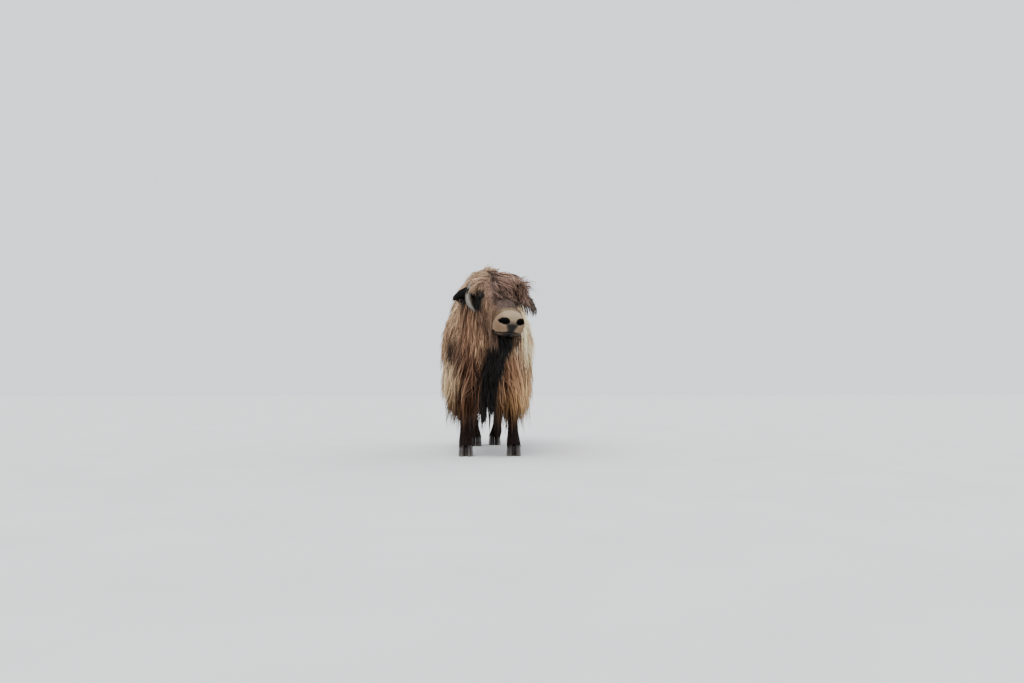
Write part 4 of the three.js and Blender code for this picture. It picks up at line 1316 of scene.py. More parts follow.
@dataclass
class Coat:
    """One stretch of coat: locks over a surface of the skin.

    Attributes:
        name: The piece's name.
        part: The stretch of skin.
        style: How it grows.
        seed: The seed of its chance.
        region: Picks its roots.
        lie: The way the hair lies at each root.
        scale: Length and depth against the style's, at each root.
        slot: The name of a material slot for the coat; it is not used.
        tint: Changes the colours that the markings give, where it is set.
    """

    name: str
    part: SkinPart
    style: CoatStyle
    seed: int
    region: RootRule
    lie: RootRule
    scale: HairScale
    slot: str = "coat"
    tint: Callable[[Roots, Array], Array] | None = None

    def grow(self, hide: Hide, material: bpy.types.Material) -> Piece:
        """Makes the piece.

        Args:
            hide: The skin.
            material: The hair's material.

        Returns:
            The mesh object.
        """
        rng = np.random.default_rng(self.seed)
        roots = self.scattered(hide, rng)
        leaders = self.thinned(roots, rng)
        lines = self.leader_lines(hide, leaders, rng)
        locks, tones = self.follower_lines(hide, roots, leaders, lines, rng)
        return self.meshed(hide, roots, locks, tones, rng, material)

    def scattered(self, hide: Hide, rng: np.random.Generator) -> Roots:
        """Scatters every lock's root over the region, dropping those inside another part."""
        density = self.style.followers / self.style.spacing**2
        surfaces = hide.surfaces[self.part]
        made = []
        for number, surface in enumerate(surfaces):
            roots = surface.sample(int(surface.area() * density), rng)
            roots = roots.kept(self.region(roots))
            spots, _ = hide.nearest(roots.place, bare=True)
            roots = roots.kept(np.linalg.norm(spots - roots.place, axis=1) < BURIED)
            roots.unwrap[:, 1] = (roots.unwrap[:, 1] + number) / len(surfaces)
            made.append(roots)
        columns = ("place", "normal", "unwrap")
        return Roots(*(np.concatenate([getattr(r, name) for r in made]) for name in columns))

    def thinned(self, roots: Roots, rng: np.random.Generator) -> Roots:
        """Picks leaders among the roots, no two nearer than the spacing."""
        cell = self.style.spacing
        taken: dict[tuple[int, int, int], list[Array]] = {}
        chosen = []
        for i in rng.permutation(len(roots.place)):
            p = roots.place[i]
            x, y, z = (int(v) for v in p // cell)
            near = [
                q for a in (-1, 0, 1) for b in (-1, 0, 1) for c in (-1, 0, 1)
                for q in taken.get((x + a, y + b, z + c), ())
            ]
            if all(((p - q) ** 2).sum() > (LEADER_GAP * cell) ** 2 for q in near):
                taken.setdefault((x, y, z), []).append(p)
                chosen.append(i)
        return roots.kept(np.array(chosen))

    def leader_lines(self, hide: Hide, roots: Roots, rng: np.random.Generator) -> Array:
        """Lets each leader grow along the skin and then hang, and gives it its waves.

        Args:
            hide: The skin.
            roots: The leaders' roots.
            rng: The seeded source of chance.

        Returns:
            The leaders' points, (n, steps + 1, 3).
        """
        style, count = self.style, len(roots.place)
        long, deep = self.scale(roots)
        length = style.length * long * rng.uniform(0.82, 1.12, count)
        depth = style.depth * deep
        lie = self.lie(roots)
        lie = unit(lie - roots.normal * dots(lie, roots.normal)[:, None])
        lie = unit(lie + rng.normal(0, 0.10, (count, 3)))
        stand = math.radians(style.stand)
        heading = unit(lie * math.cos(stand) + roots.normal * math.sin(stand))
        fall = unit(roots.normal * np.array([style.flare, style.flare, 0.0]) - UP)
        points = [roots.place - roots.normal * ROOT_DEPTH]
        here = roots.place.copy()
        step = (length / style.steps)[:, None]
        for k in range(1, style.steps + 1):
            t = k / style.steps
            pull = min(1.0, style.gravity * t * 1.4)
            heading = unit(heading * (1 - pull) + (lie * (1 - pull) + fall * pull) * 0.9)
            here = here + heading * step
            spots, normals = hide.nearest(here)
            height = dots(here - spots, normals)
            want = depth * t**0.75
            lying = ease(-0.45, 0.1, normals[:, 2] + (1 - style.gravity) * 0.4)
            lying *= ease(0.14, 0.095, height)
            held = np.where(height > want, height + (want - height) * 0.75 * lying, want)
            near = (height < HOLD_REACH)[:, None]
            here = np.where(near, here + normals * (held - height)[:, None], here)
            move = here - points[-1]
            far = np.linalg.norm(move, axis=1, keepdims=True) + 1e-9
            here = points[-1] + move * np.minimum(1.0, STEP_GIVE * step / far)
            heading = unit(here - points[-1])
            points.append(here)
        lines = np.stack(points, axis=1)
        tangent = unit(np.gradient(lines, axis=1))
        sideways = unit(np.cross(tangent, roots.normal[:, None]))
        t = np.linspace(0, 1, style.steps + 1)[None]
        phase = 9.0 * roots.place[:, 0] + 14.0 * roots.place[:, 1] + rng.normal(0, 1.0, count)
        turn = phase[:, None] + 2 * np.pi * style.coils * t
        swing = style.wave * length[:, None] * ease(0, 0.4, t)
        swing = swing * rng.uniform(0.5, 1.4, (count, 1))
        lines += sideways * (np.sin(turn) * swing)[..., None]
        return lines + np.cross(sideways, tangent) * (np.cos(turn) * swing * 0.5)[..., None]

    def follower_lines(
        self, hide: Hide, roots: Roots, leaders: Roots, lines: Array, rng: np.random.Generator
    ) -> Pair:
        """Lets every lock follow its nearest leader, drawing together to the tips.

        Args:
            hide: The skin.
            roots: Every lock's root.
            leaders: The leaders' roots.
            lines: The leaders' points.
            rng: The seeded source of chance.

        Returns:
            The locks' points, (n, steps + 1, 3), and the brightness of each.
        """
        style, count = self.style, len(roots.place)
        tree = point_tree(leaders.place)
        lead = np.array([tree.find(p)[1] for p in roots.place])
        t = np.linspace(0, 1, style.steps + 1)
        share = rng.uniform(0.7, 1.0, count)
        place = np.clip(share[:, None] * t[None] * style.steps, 0, style.steps - 1e-6)
        low = place.astype(int)
        mix = (place - low)[..., None]
        rows = np.arange(count)[:, None]
        chosen = lines[lead]
        followed = chosen[rows, low] * (1 - mix) + chosen[rows, low + 1] * mix
        away = (roots.place - leaders.place[lead])[:, None]
        drawn = (1 - style.clump * rng.uniform(0.6, 1.1, (count, 1)) * t**1.2)[..., None]
        jitter = rng.normal(0, 0.12, (count, 1, 3)) * style.spacing * t[None, :, None]
        locks = followed + away * drawn + jitter
        layer = rng.uniform(0.3, 1.0, count)
        layer[rng.random(count) < STRAY_SHARE] = STRAY_LAYER
        flat = locks.reshape(-1, 3)
        spots, normals = hide.nearest(flat)
        height = dots(flat - spots, normals)
        least = np.tile(t, count) * min(0.004, 1.2 * style.depth) + min(0.0008, 0.4 * style.depth)
        layered = np.maximum(height * np.repeat(layer, style.steps + 1), least)
        wanted = np.where(height < style.depth * 1.6, layered, height)
        locks = (flat + normals * (wanted - height)[:, None]).reshape(locks.shape)
        locks[:, 0] = roots.place - roots.normal * ROOT_DEPTH
        beyond = np.maximum(np.abs(locks[..., 0]) - HALF_WIDTH, 0)
        locks[..., 0] -= np.sign(locks[..., 0]) * (beyond - SIDE_GIVE * np.tanh(beyond / SIDE_GIVE))
        tones = rng.normal(0, style.spread, len(leaders.place))[lead]
        tones = tones + rng.normal(0, 0.5 * style.spread, count)
        # Locks that lie nearer the skin are darker and strays above the rest lighter: painted shade within
        # the coat, on top of each leader's random tone.
        return locks, tones + 2.2 * style.spread * (layer - 0.75)

    def meshed(
        self, hide: Hide, roots: Roots, locks: Array, tones: Array,
        rng: np.random.Generator, material: bpy.types.Material,
    ) -> Piece:
        """Builds every lock as a thin closed blade that tapers to a point.

        Args:
            hide: The skin.
            roots: Every lock's root.
            locks: The locks' points.
            tones: The brightness of each lock.
            rng: The seeded source of chance.
            material: The hair's material.

        Returns:
            The mesh object.
        """
        style = self.style
        count, rings = locks.shape[:2]
        t = np.linspace(0, 1, rings)
        tangent = unit(np.gradient(locks, axis=1))
        _, near = hide.nearest(locks[:, rings // 2])
        facing = unit(near + roots.normal)[:, None]
        out = unit(facing - tangent * (tangent * facing).sum(axis=2, keepdims=True))
        twist = rng.normal(0, 0.35, (count, 1, 1))
        side = unit(np.cross(tangent, out))
        cos, sin = np.cos(twist), np.sin(twist)
        side, out = side * cos + out * sin, out * cos - side * sin
        fullness = along(np.array([0, 0.3, 0.7, 1.0]), np.array([0.7, 1.0, 0.72, 0.16]), t)
        half = (style.width / 2 * rng.uniform(0.7, 1.35, (count, 1)) * fullness[None])[..., None]
        crest = locks + out * half * 2 * style.thick
        ring = np.stack([locks + side * half, crest, locks - side * half], axis=2)
        verts = np.concatenate([ring[:, :-1].reshape(count, -1, 3), locks[:, -1:]], axis=1)
        per = verts.shape[1]
        sides = ((0, 1), (1, 2), (2, 0))
        base = 3 * (rings - 2)
        starts = range(0, base, 3)
        quads = [[k + p, k + 3 + p, k + 3 + q, k + q] for k in starts for p, q in sides]
        tris = [[0, 1, 2]] + [[base + p, per - 1, base + q] for p, q in sides]
        offsets = (np.arange(count) * per)[:, None, None]
        faces = [
            (np.array(kind)[None] + offsets).reshape(-1, len(kind[0])) for kind in (quads, tris)
        ]
        mesh = fast_mesh(self.name, verts.reshape(-1, 3) + TO_FRAME, *faces)
        spots = locks + rng.normal(0, 1, (count, 1, 3)) * style.mingle * np.array([0.5, 1.0, 0.8])
        base_tone = part_colours(self.part, spots.reshape(-1, 3)).reshape(locks.shape)
        if self.tint is not None:
            base_tone = self.tint(roots, base_tone)
        base_tone = np.concatenate([np.repeat(base_tone[:, :-1], 3, axis=1), base_tone[:, -1:]], axis=1)
        warmth = 1 + np.minimum(tones, 0)[:, None] * np.array([0.0, 0.18, 0.36])
        place = np.append(np.repeat(t[:-1], 3), 1.0)
        # Roots darker than tips are painted shade deep in the coat; where root is above one, as on the
        # face, the roots are painted lighter against the blades' own shade.
        root_shading = 1.12 * (style.root + (1 - style.root) * place**0.8)
        colours = base_tone * (np.exp(tones)[:, None] * warmth)[:, None] * root_shading[None, :, None]
        colour_attribute(mesh, np.clip(colours.reshape(-1, 3), 0.001, 0.9))
        self.unwrapped(mesh, roots, rings, per)
        piece = linked(self.name, mesh)
        finished(piece, [], material)
        return piece

    @staticmethod
    def unwrapped(mesh: bpy.types.Mesh, roots: Roots, rings: int, per: int) -> None:
        """Lays each lock as a small patch at its root's place on the unwrapped skin.

        Args:
            mesh: The coat's mesh.
            roots: Every lock's root.
            rings: Rings in a lock.
            per: Vertices in a lock.
        """
        index = np.empty(len(mesh.loops), np.int64)
        mesh.loops.foreach_get("vertex_index", index)
        lock, corner = np.divmod(index, per)
        ring, way = np.divmod(corner, 3)
        patch = np.stack([way / 2 - 0.5, ring / (rings - 1) - 0.5], axis=1) * 0.003
        place = roots.unwrap[lock] * 0.99 + 0.005 + patch
        strand = np.stack([way / 2 + lock % 97, ring / (rings - 1) + lock % 89], axis=1)
        for name, values in (("OFBake", place), ("Strand", strand)):
            mesh.uv_layers.new(name=name).data.foreach_set("uv", values.astype(np.float32).ravel())
        mesh.uv_layers.active = mesh.uv_layers["OFBake"]


def fast_mesh(name: str, verts: Array, quads: Array, tris: Array) -> bpy.types.Mesh:
    """Builds a mesh from arrays, smooth all over.

    Args:
        name: The mesh's name.
        verts: Vertices in the frame, (n, 3).
        quads: Four-cornered faces, (m, 4).
        tris: Three-cornered faces, (k, 3).

    Returns:
        The mesh.
    """
    mesh = bpy.data.meshes.new(name)
    mesh.vertices.add(len(verts))
    mesh.vertices.foreach_set("co", verts.astype(np.float32).ravel())
    corners = np.concatenate([quads.ravel(), tris.ravel()]).astype(np.int32)
    mesh.loops.add(len(corners))
    mesh.loops.foreach_set("vertex_index", corners)
    sizes = np.concatenate([np.full(len(quads), 4), np.full(len(tris), 3)])
    starts = np.concatenate([[0], np.cumsum(sizes)[:-1]]).astype(np.int32)
    mesh.polygons.add(len(sizes))
    mesh.polygons.foreach_set("loop_start", starts)
    mesh.update(calc_edges=True)
    mesh.validate()
    mesh.shade_smooth()
    return mesh


class Finish:
    """A procedural material that starts from the attribute Tone."""

    def __init__(self, name: str) -> None:
        """Makes the material with its tone at hand."""
        self.material = bpy.data.materials.new(name)
        self.material.use_nodes = True
        tree = self.material.node_tree
        self.node, self.link = tree.nodes.new, tree.links.new
        self.shader = tree.nodes["Principled BSDF"]
        self.tone = self.node("ShaderNodeAttribute")
        self.tone.attribute_name = "Tone"

    def noise(
        self, source: Socket, scale: Triple, detail: float
    ) -> Socket:
        """Returns noise of a given fineness along each axis.

        Args:
            source: The coordinates.
            scale: Fineness along each axis.
            detail: Octaves.

        Returns:
            The noise's value.
        """
        mapping = self.node("ShaderNodeMapping")
        mapping.inputs["Scale"].default_value = scale
        self.link(source, mapping.inputs["Vector"])
        noise = self.node("ShaderNodeTexNoise")
        noise.inputs["Scale"].default_value = 1.0
        noise.inputs["Detail"].default_value = detail
        self.link(mapping.outputs["Vector"], noise.inputs["Vector"])
        return noise.outputs["Fac"]

    def ranged(
        self, value: Socket, low: float, high: float, start: float = 0.3, end: float = 0.7
    ) -> Socket:
        """Maps a value from start and end to low and high."""
        node = self.node("ShaderNodeMapRange")
        names = ("From Min", "From Max", "To Min", "To Max")
        for name, number in zip(names, (start, end, low, high)):
            node.inputs[name].default_value = number
        self.link(value, node.inputs["Value"])
        return node.outputs["Result"]

    def coloured(self, shade: Socket) -> None:
        """Sets the base colour to the tone times a shade."""
        scaled = self.node("ShaderNodeVectorMath")
        scaled.operation = "SCALE"
        self.link(self.tone.outputs["Color"], scaled.inputs[0])
        self.link(shade, scaled.inputs["Scale"])
        self.link(scaled.outputs["Vector"], self.shader.inputs["Base Color"])

    def bumped(self, height: Socket, strength: float, distance: float) -> None:
        """Adds relief."""
        bump = self.node("ShaderNodeBump")
        bump.inputs["Strength"].default_value = strength
        bump.inputs["Distance"].default_value = distance
        self.link(height, bump.inputs["Height"])
        self.link(bump.outputs["Normal"], self.shader.inputs["Normal"])

    def glossed(self, gloss: float, rough: float | None = None) -> None:
        """Sets how much the surface shines and, where given, how rough it is."""
        self.shader.inputs["Specular IOR Level"].default_value = gloss
        if rough is not None:
            self.shader.inputs["Roughness"].default_value = rough

    def place(self) -> Socket:
        """Returns the piece's own coordinates."""
        return self.node("ShaderNodeTexCoord").outputs["Object"]


class HairFinish(Finish):
    """Hair: its own tone with fine streaks along each lock, and a soft gloss."""

    def __init__(self) -> None:
        """Makes the material."""
        super().__init__("hair")
        strand = self.node("ShaderNodeUVMap")
        strand.uv_map = "Strand"
        streaks = self.noise(strand.outputs["UV"], (8.0, 1.2, 1.0), 3.0)
        self.coloured(self.ranged(streaks, 0.72, 1.28))
        self.bumped(streaks, 0.5, 0.0008)
        self.glossed(0.22, 0.6)


class SkinFinish(Finish):
    """Short fur, and bare moist skin where the wetness says so: fine relief with darker pores."""

    def __init__(self) -> None:
        """Makes the material."""
        super().__init__("short_fur")
        place, wet = self.place(), self.tone.outputs["Alpha"]
        turned = self.node("ShaderNodeMapping")
        turned.inputs["Rotation"].default_value = Matrix(HEAD.turn.T.tolist()).to_euler()
        self.link(place, turned.inputs["Vector"])
        fur = self.noise(turned.outputs["Vector"], (620.0, 110.0, 620.0), 3.0)
        self.coloured(self.ranged(fur, 0.80, 1.16))
        cells = self.node("ShaderNodeTexVoronoi")
        cells.inputs["Scale"].default_value = 330.0
        self.link(place, cells.inputs["Vector"])
        relief = self.node("ShaderNodeMix")
        self.link(wet, relief.inputs["Factor"])
        self.link(fur, relief.inputs[2])
        self.link(self.ranged(cells.outputs["Distance"], 1.0, 0.0, 0.0, 0.8), relief.inputs[3])
        self.bumped(relief.outputs[0], 0.6, 0.0011)
        self.link(self.ranged(wet, 0.62, 0.30, 0.0, 1.0), self.shader.inputs["Roughness"])
        self.glossed(0.18)


class HornFinish(Finish):
    """Weathered horn or hoof: worn patches, fine fibres along it, and rings of growth."""

    def __init__(self, name: str, along_scale: Triple, rough: float) -> None:
        """Makes the material.

        Args:
            name: Its name.
            along_scale: Fineness of the fibres along each axis.
            rough: Its roughness.
        """
        super().__init__(name)
        place = self.place()
        fibres = self.noise(place, along_scale, 6.0)
        self.coloured(self.ranged(fibres, 0.76, 1.16))
        self.bumped(fibres, 0.4, 0.0008)
        worn = self.noise(place, (30.0, 30.0, 30.0), 3.0)
        self.link(self.ranged(worn, rough - 0.1, rough + 0.15), self.shader.inputs["Roughness"])


class EyeFinish(Finish):
    """A wet dark eye, with fine fibres in its iris."""

    def __init__(self) -> None:
        """Makes the material."""
        super().__init__("wet_eye")
        self.coloured(self.ranged(self.noise(self.place(), (700.0, 700.0, 700.0), 2.0), 0.7, 1.3))
        self.glossed(0.22, 0.12)


def side_of(roots: Roots) -> Array:
    """Returns 1 for roots on the animal's left and -1 for its right."""
    return np.where(roots.place[:, 0] >= 0, 1.0, -1.0)


def off_middle(roots: Roots) -> Array:
    """Returns the side of each root, with a soft change over the middle line."""
    return np.clip(roots.place[:, 0] / 0.05, -1, 1)


def body_lie(roots: Roots) -> Array:
    """Returns how hair lies on the trunk: down the flanks, back along the ridge."""
    flat = ease(0.55, 0.95, roots.normal[:, 2])
    sideways = off_middle(roots) * (0.25 + 0.6 * flat)
    return np.stack([sideways, 0.22 + 0.75 * flat, -np.ones(len(flat))], axis=1)


def neck_lie(roots: Roots) -> Array:
    """Returns how hair lies on the neck: down its sides and a little back."""
    flat = ease(0.5, 0.95, roots.normal[:, 2])
    sideways = off_middle(roots) * (0.3 + 0.8 * flat)
    return np.stack([sideways, 0.18 - 0.3 * flat, -np.ones(len(flat))], axis=1)


def constant_lie(x: float, y: float, z: float) -> RootRule:
    """Returns a lie that is the same everywhere."""
    return lambda roots: np.tile([x, y, z], (len(roots.place), 1))


def head_lie(down: float, left: float, rise: float, fan: float = 0.0) -> RootRule:
    """Returns a lie in the head's own measures.

    Args:
        down, left, rise: The direction.
        fan: How much it turns outward away from the face's middle line.

    Returns:
        The function that gives the lie at each root.
    """
    def lie(roots: Roots) -> Array:
        """Returns the direction at each root."""
        _, aside, _ = HEAD.local(roots.place)
        same = np.ones_like(aside)
        return np.stack([left + fan * aside, -down * same, rise * same], axis=1) @ HEAD.turn.T
    return lie


def ear_lie(roots: Roots) -> Array:
    """Returns the lie on the ears: out to their tips and a little down."""
    lines = np.where((roots.unwrap[:, 1] < 0.5)[:, None], EARS[0].axes()[0], EARS[1].axes()[0])
    return lines - UP * 0.12


def even(roots: Roots) -> Pair:
    """Returns the style's own length and depth everywhere."""
    ones = np.ones(len(roots.place))
    return ones, ones


def trunk_scale(roots: Roots) -> Pair:
    """Returns the trunk coat's length and depth: short on the back, long at the skirt."""
    y, z, up = roots.place[:, 1], roots.place[:, 2], roots.normal[:, 2]
    length = 1.30 + 0.45 * ease(0.55, 0.70, z) - 0.95 * ease(0.80, 1.20, z)
    length = length * (1 - 0.35 * ease(-0.6, -0.95, up)) * (1 + 0.22 * ease(0.45, 0.05, y))
    depth = along(TRUNK[:, 0], TRUNK[:, 4], y)
    depth = depth * (1 - 0.45 * ease(0.35, 0.9, up)) * (1 - 0.5 * ease(-0.4, -0.9, up))
    shoulder = 0.40 * ease(0.74, 0.90, z) * ease(0.50, 0.15, y) * ease(0.7, 0.4, up)
    depth = depth * (1 - shoulder)
    left = ease(0.16, 0.24, roots.place[:, 0]) * ease(0.80, 0.94, z)
    left = left * ease(0.55, 0.25, y)
    return length, depth * (1 - 0.45 * left)


def neck_scale(roots: Roots) -> Pair:
    """Returns the neck coat's length and depth, less toward the skull."""
    near = ease(-0.28, -0.45, roots.place[:, 1])
    up = ease(0.4, 0.95, roots.normal[:, 2])
    left = ease(0.08, 0.18, roots.place[:, 0]) * ease(0.84, 0.94, roots.place[:, 2])
    return (1 - 0.3 * near) * (1 - 0.3 * up), (1 - 0.4 * near) * (1 - 0.45 * up) * (1 - 0.5 * left)


def crown_scale(roots: Roots) -> Pair:
    """Returns the forelock's length and depth, less low on the brow."""
    down, _, _ = HEAD.local(roots.place)
    low, behind = ease(0.08, 0.19, down), ease(0.03, -0.02, down)
    return (1 - 0.30 * low) * (1 - 0.35 * behind), (1 - 0.35 * low) * (1 - 0.40 * behind)


def cheek_scale(roots: Roots) -> Pair:
    """Returns the cheek hair's length and depth, less toward the muzzle."""
    down, _, rise = HEAD.local(roots.place)
    near = ease(0.20, 0.36, down)
    top = ease(-0.08, 0.01, rise)
    back = ease(0.15, 0.11, down)
    jaw = ease(-0.04, -0.07, rise)
    length = (1 - (0.45 - 0.35 * jaw) * near) * (1 - 0.40 * top) * (1 - 0.5 * back)
    return length, (1 - 0.5 * near) * (1 - 0.4 * top)


def beard_scale(roots: Roots) -> Pair:
    """Returns the beard's length and depth, most under the chin."""
    down, left, _ = HEAD.local(roots.place)
    front, aside = ease(0.47, 0.42, down), ease(0.03, 0.08, np.abs(left))
    return (0.35 + 0.75 * front) * (1 - 0.3 * aside), front * 0.8 + 0.2


def fading(read: RootRule, start: float, end: float, shorter: float, flatter: float) -> HairScale:
    """Returns a rule for hair that grows shorter and flatter along a measure of its roots.

    Args:
        read: The measure.
        start, end: Where the change begins and ends.
        shorter, flatter: What length and depth lose, as shares.

    Returns:
        The function that gives length and depth at each root.
    """
    def scale(roots: Roots) -> Pair:
        """Returns length and depth."""
        change = ease(start, end, read(roots))
        return 1 - shorter * change, 1 - flatter * change
    return scale


def height_of(roots: Roots) -> Array:
    """Returns each root's height over the floor."""
    return roots.place[:, 2]


def down_face(roots: Roots) -> Array:
    """Returns each root's distance down the face."""
    return HEAD.local(roots.place)[0]


def bare_face(roots: Roots) -> Array:
    """Picks the short fur of the bridge, clear of the eyes and ending on the muzzle."""
    down, left, rise = HEAD.local(roots.place)
    clear = (from_eye(down, rise, 1.3) > 0.022) | (np.abs(left) < 0.08)
    return clear & (down > 0.20) & (down < 0.415) & (rise > np.where(down > 0.35, -0.070, -0.005))


def parted(reach: float, side: int = 1) -> RootRule:
    """Picks the crown on one side of its parting.

    Args:
        reach: How far down the face the region goes.
        side: 1 for the left of the parting and -1 for its right.

    Returns:
        The function that picks the roots.
    """
    def region(roots: Roots) -> Array:
        """Picks the roots."""
        down, left, rise = HEAD.local(roots.place)
        edge = side * past_parting(down, left)
        return (edge > 0) & (down < reach - 0.30 * np.maximum(edge - 0.06, 0)) & (rise > -0.012)
    return region


def temple(roots: Roots) -> Array:
    """Picks the strip between the parting and the right eye."""
    down, left, rise = HEAD.local(roots.place)
    strip = (past_parting(down, left) < 0) & (down > 0.07) & (down < 0.30)
    return strip & (rise > 0.012) & (from_eye(down, rise) > 0.036)


def ear_scale(roots: Roots) -> Pair:
    """Returns the ears' hair: smooth and short on the right, fluffy on the left."""
    fluffy = (roots.place[:, 0] > 0) * 1.0
    tip = ease(0.17, 0.23, np.abs(HEAD.local(roots.place)[1]))
    return (0.7 + 2.3 * fluffy) * (1 - 0.4 * tip), 0.6 + 5.0 * fluffy


def fringe_scale(roots: Roots) -> Pair:
    """Returns the ears' fringe, longest near the skull."""
    tip = ease(0.13, 0.21, np.abs(HEAD.local(roots.place)[1]))
    return np.where(roots.place[:, 0] < 0, 1.25 - 0.85 * tip, 1.8), 1 - 0.5 * tip


def side_tuft(roots: Roots) -> Array:
    """Picks the left side of the crown, over the horn and ear."""
    down, left, rise = HEAD.local(roots.place)
    return (left > 0.050) & (down < 0.14) & (rise > -0.07) & (rise < 0.075)


def on_cheek(roots: Roots) -> Array:
    """Picks the cheeks and the angle of the jaw."""
    down, left, rise = HEAD.local(roots.place)
    top = np.where(down < 0.12, 0.0, 0.024 - 0.9 * np.maximum(down - 0.31, 0))
    chin = (rise < -0.10) & (np.abs(left) < 0.04) & (down > 0.24)
    front = 0.375 + 0.035 * (rise < -0.055)
    return (down < front) & (rise < top) & ~chin & (from_eye(down, rise) > 0.034)


def on_chin(roots: Roots) -> Array:
    """Picks the chin and the middle of the jaw's underside."""
    down, left, rise = HEAD.local(roots.place)
    return (down > 0.22) & (down < 0.462) & (rise < -0.104) & (np.abs(left + 0.008) < 0.040)


def tuft_region(roots: Roots) -> Array:
    """Picks the top of the hump."""
    x, y, _ = (roots.place - np.array([0.0, 0.09, 1.33])).T
    return (x / 0.05) ** 2 + (y / 0.11) ** 2 + (roots.normal[:, 2] < 0.6) < 1


def toned(colour: Array, share: float = 1.0) -> Callable[[Roots, Array], Array]:
    """Returns a tint that mixes a colour into the markings."""
    return lambda roots, base: base * (1 - share) + colour * share


def on_side(chosen: Callable[..., Array], side: Side) -> RootRule:
    """Picks one side of what a rule on the normal's rise, y and z chooses."""
    def region(roots: Roots) -> Array:
        """Picks the roots."""
        picked = chosen(roots.normal[:, 2], roots.place[:, 1], roots.place[:, 2])
        return picked & (side_of(roots) == side.value)
    return region


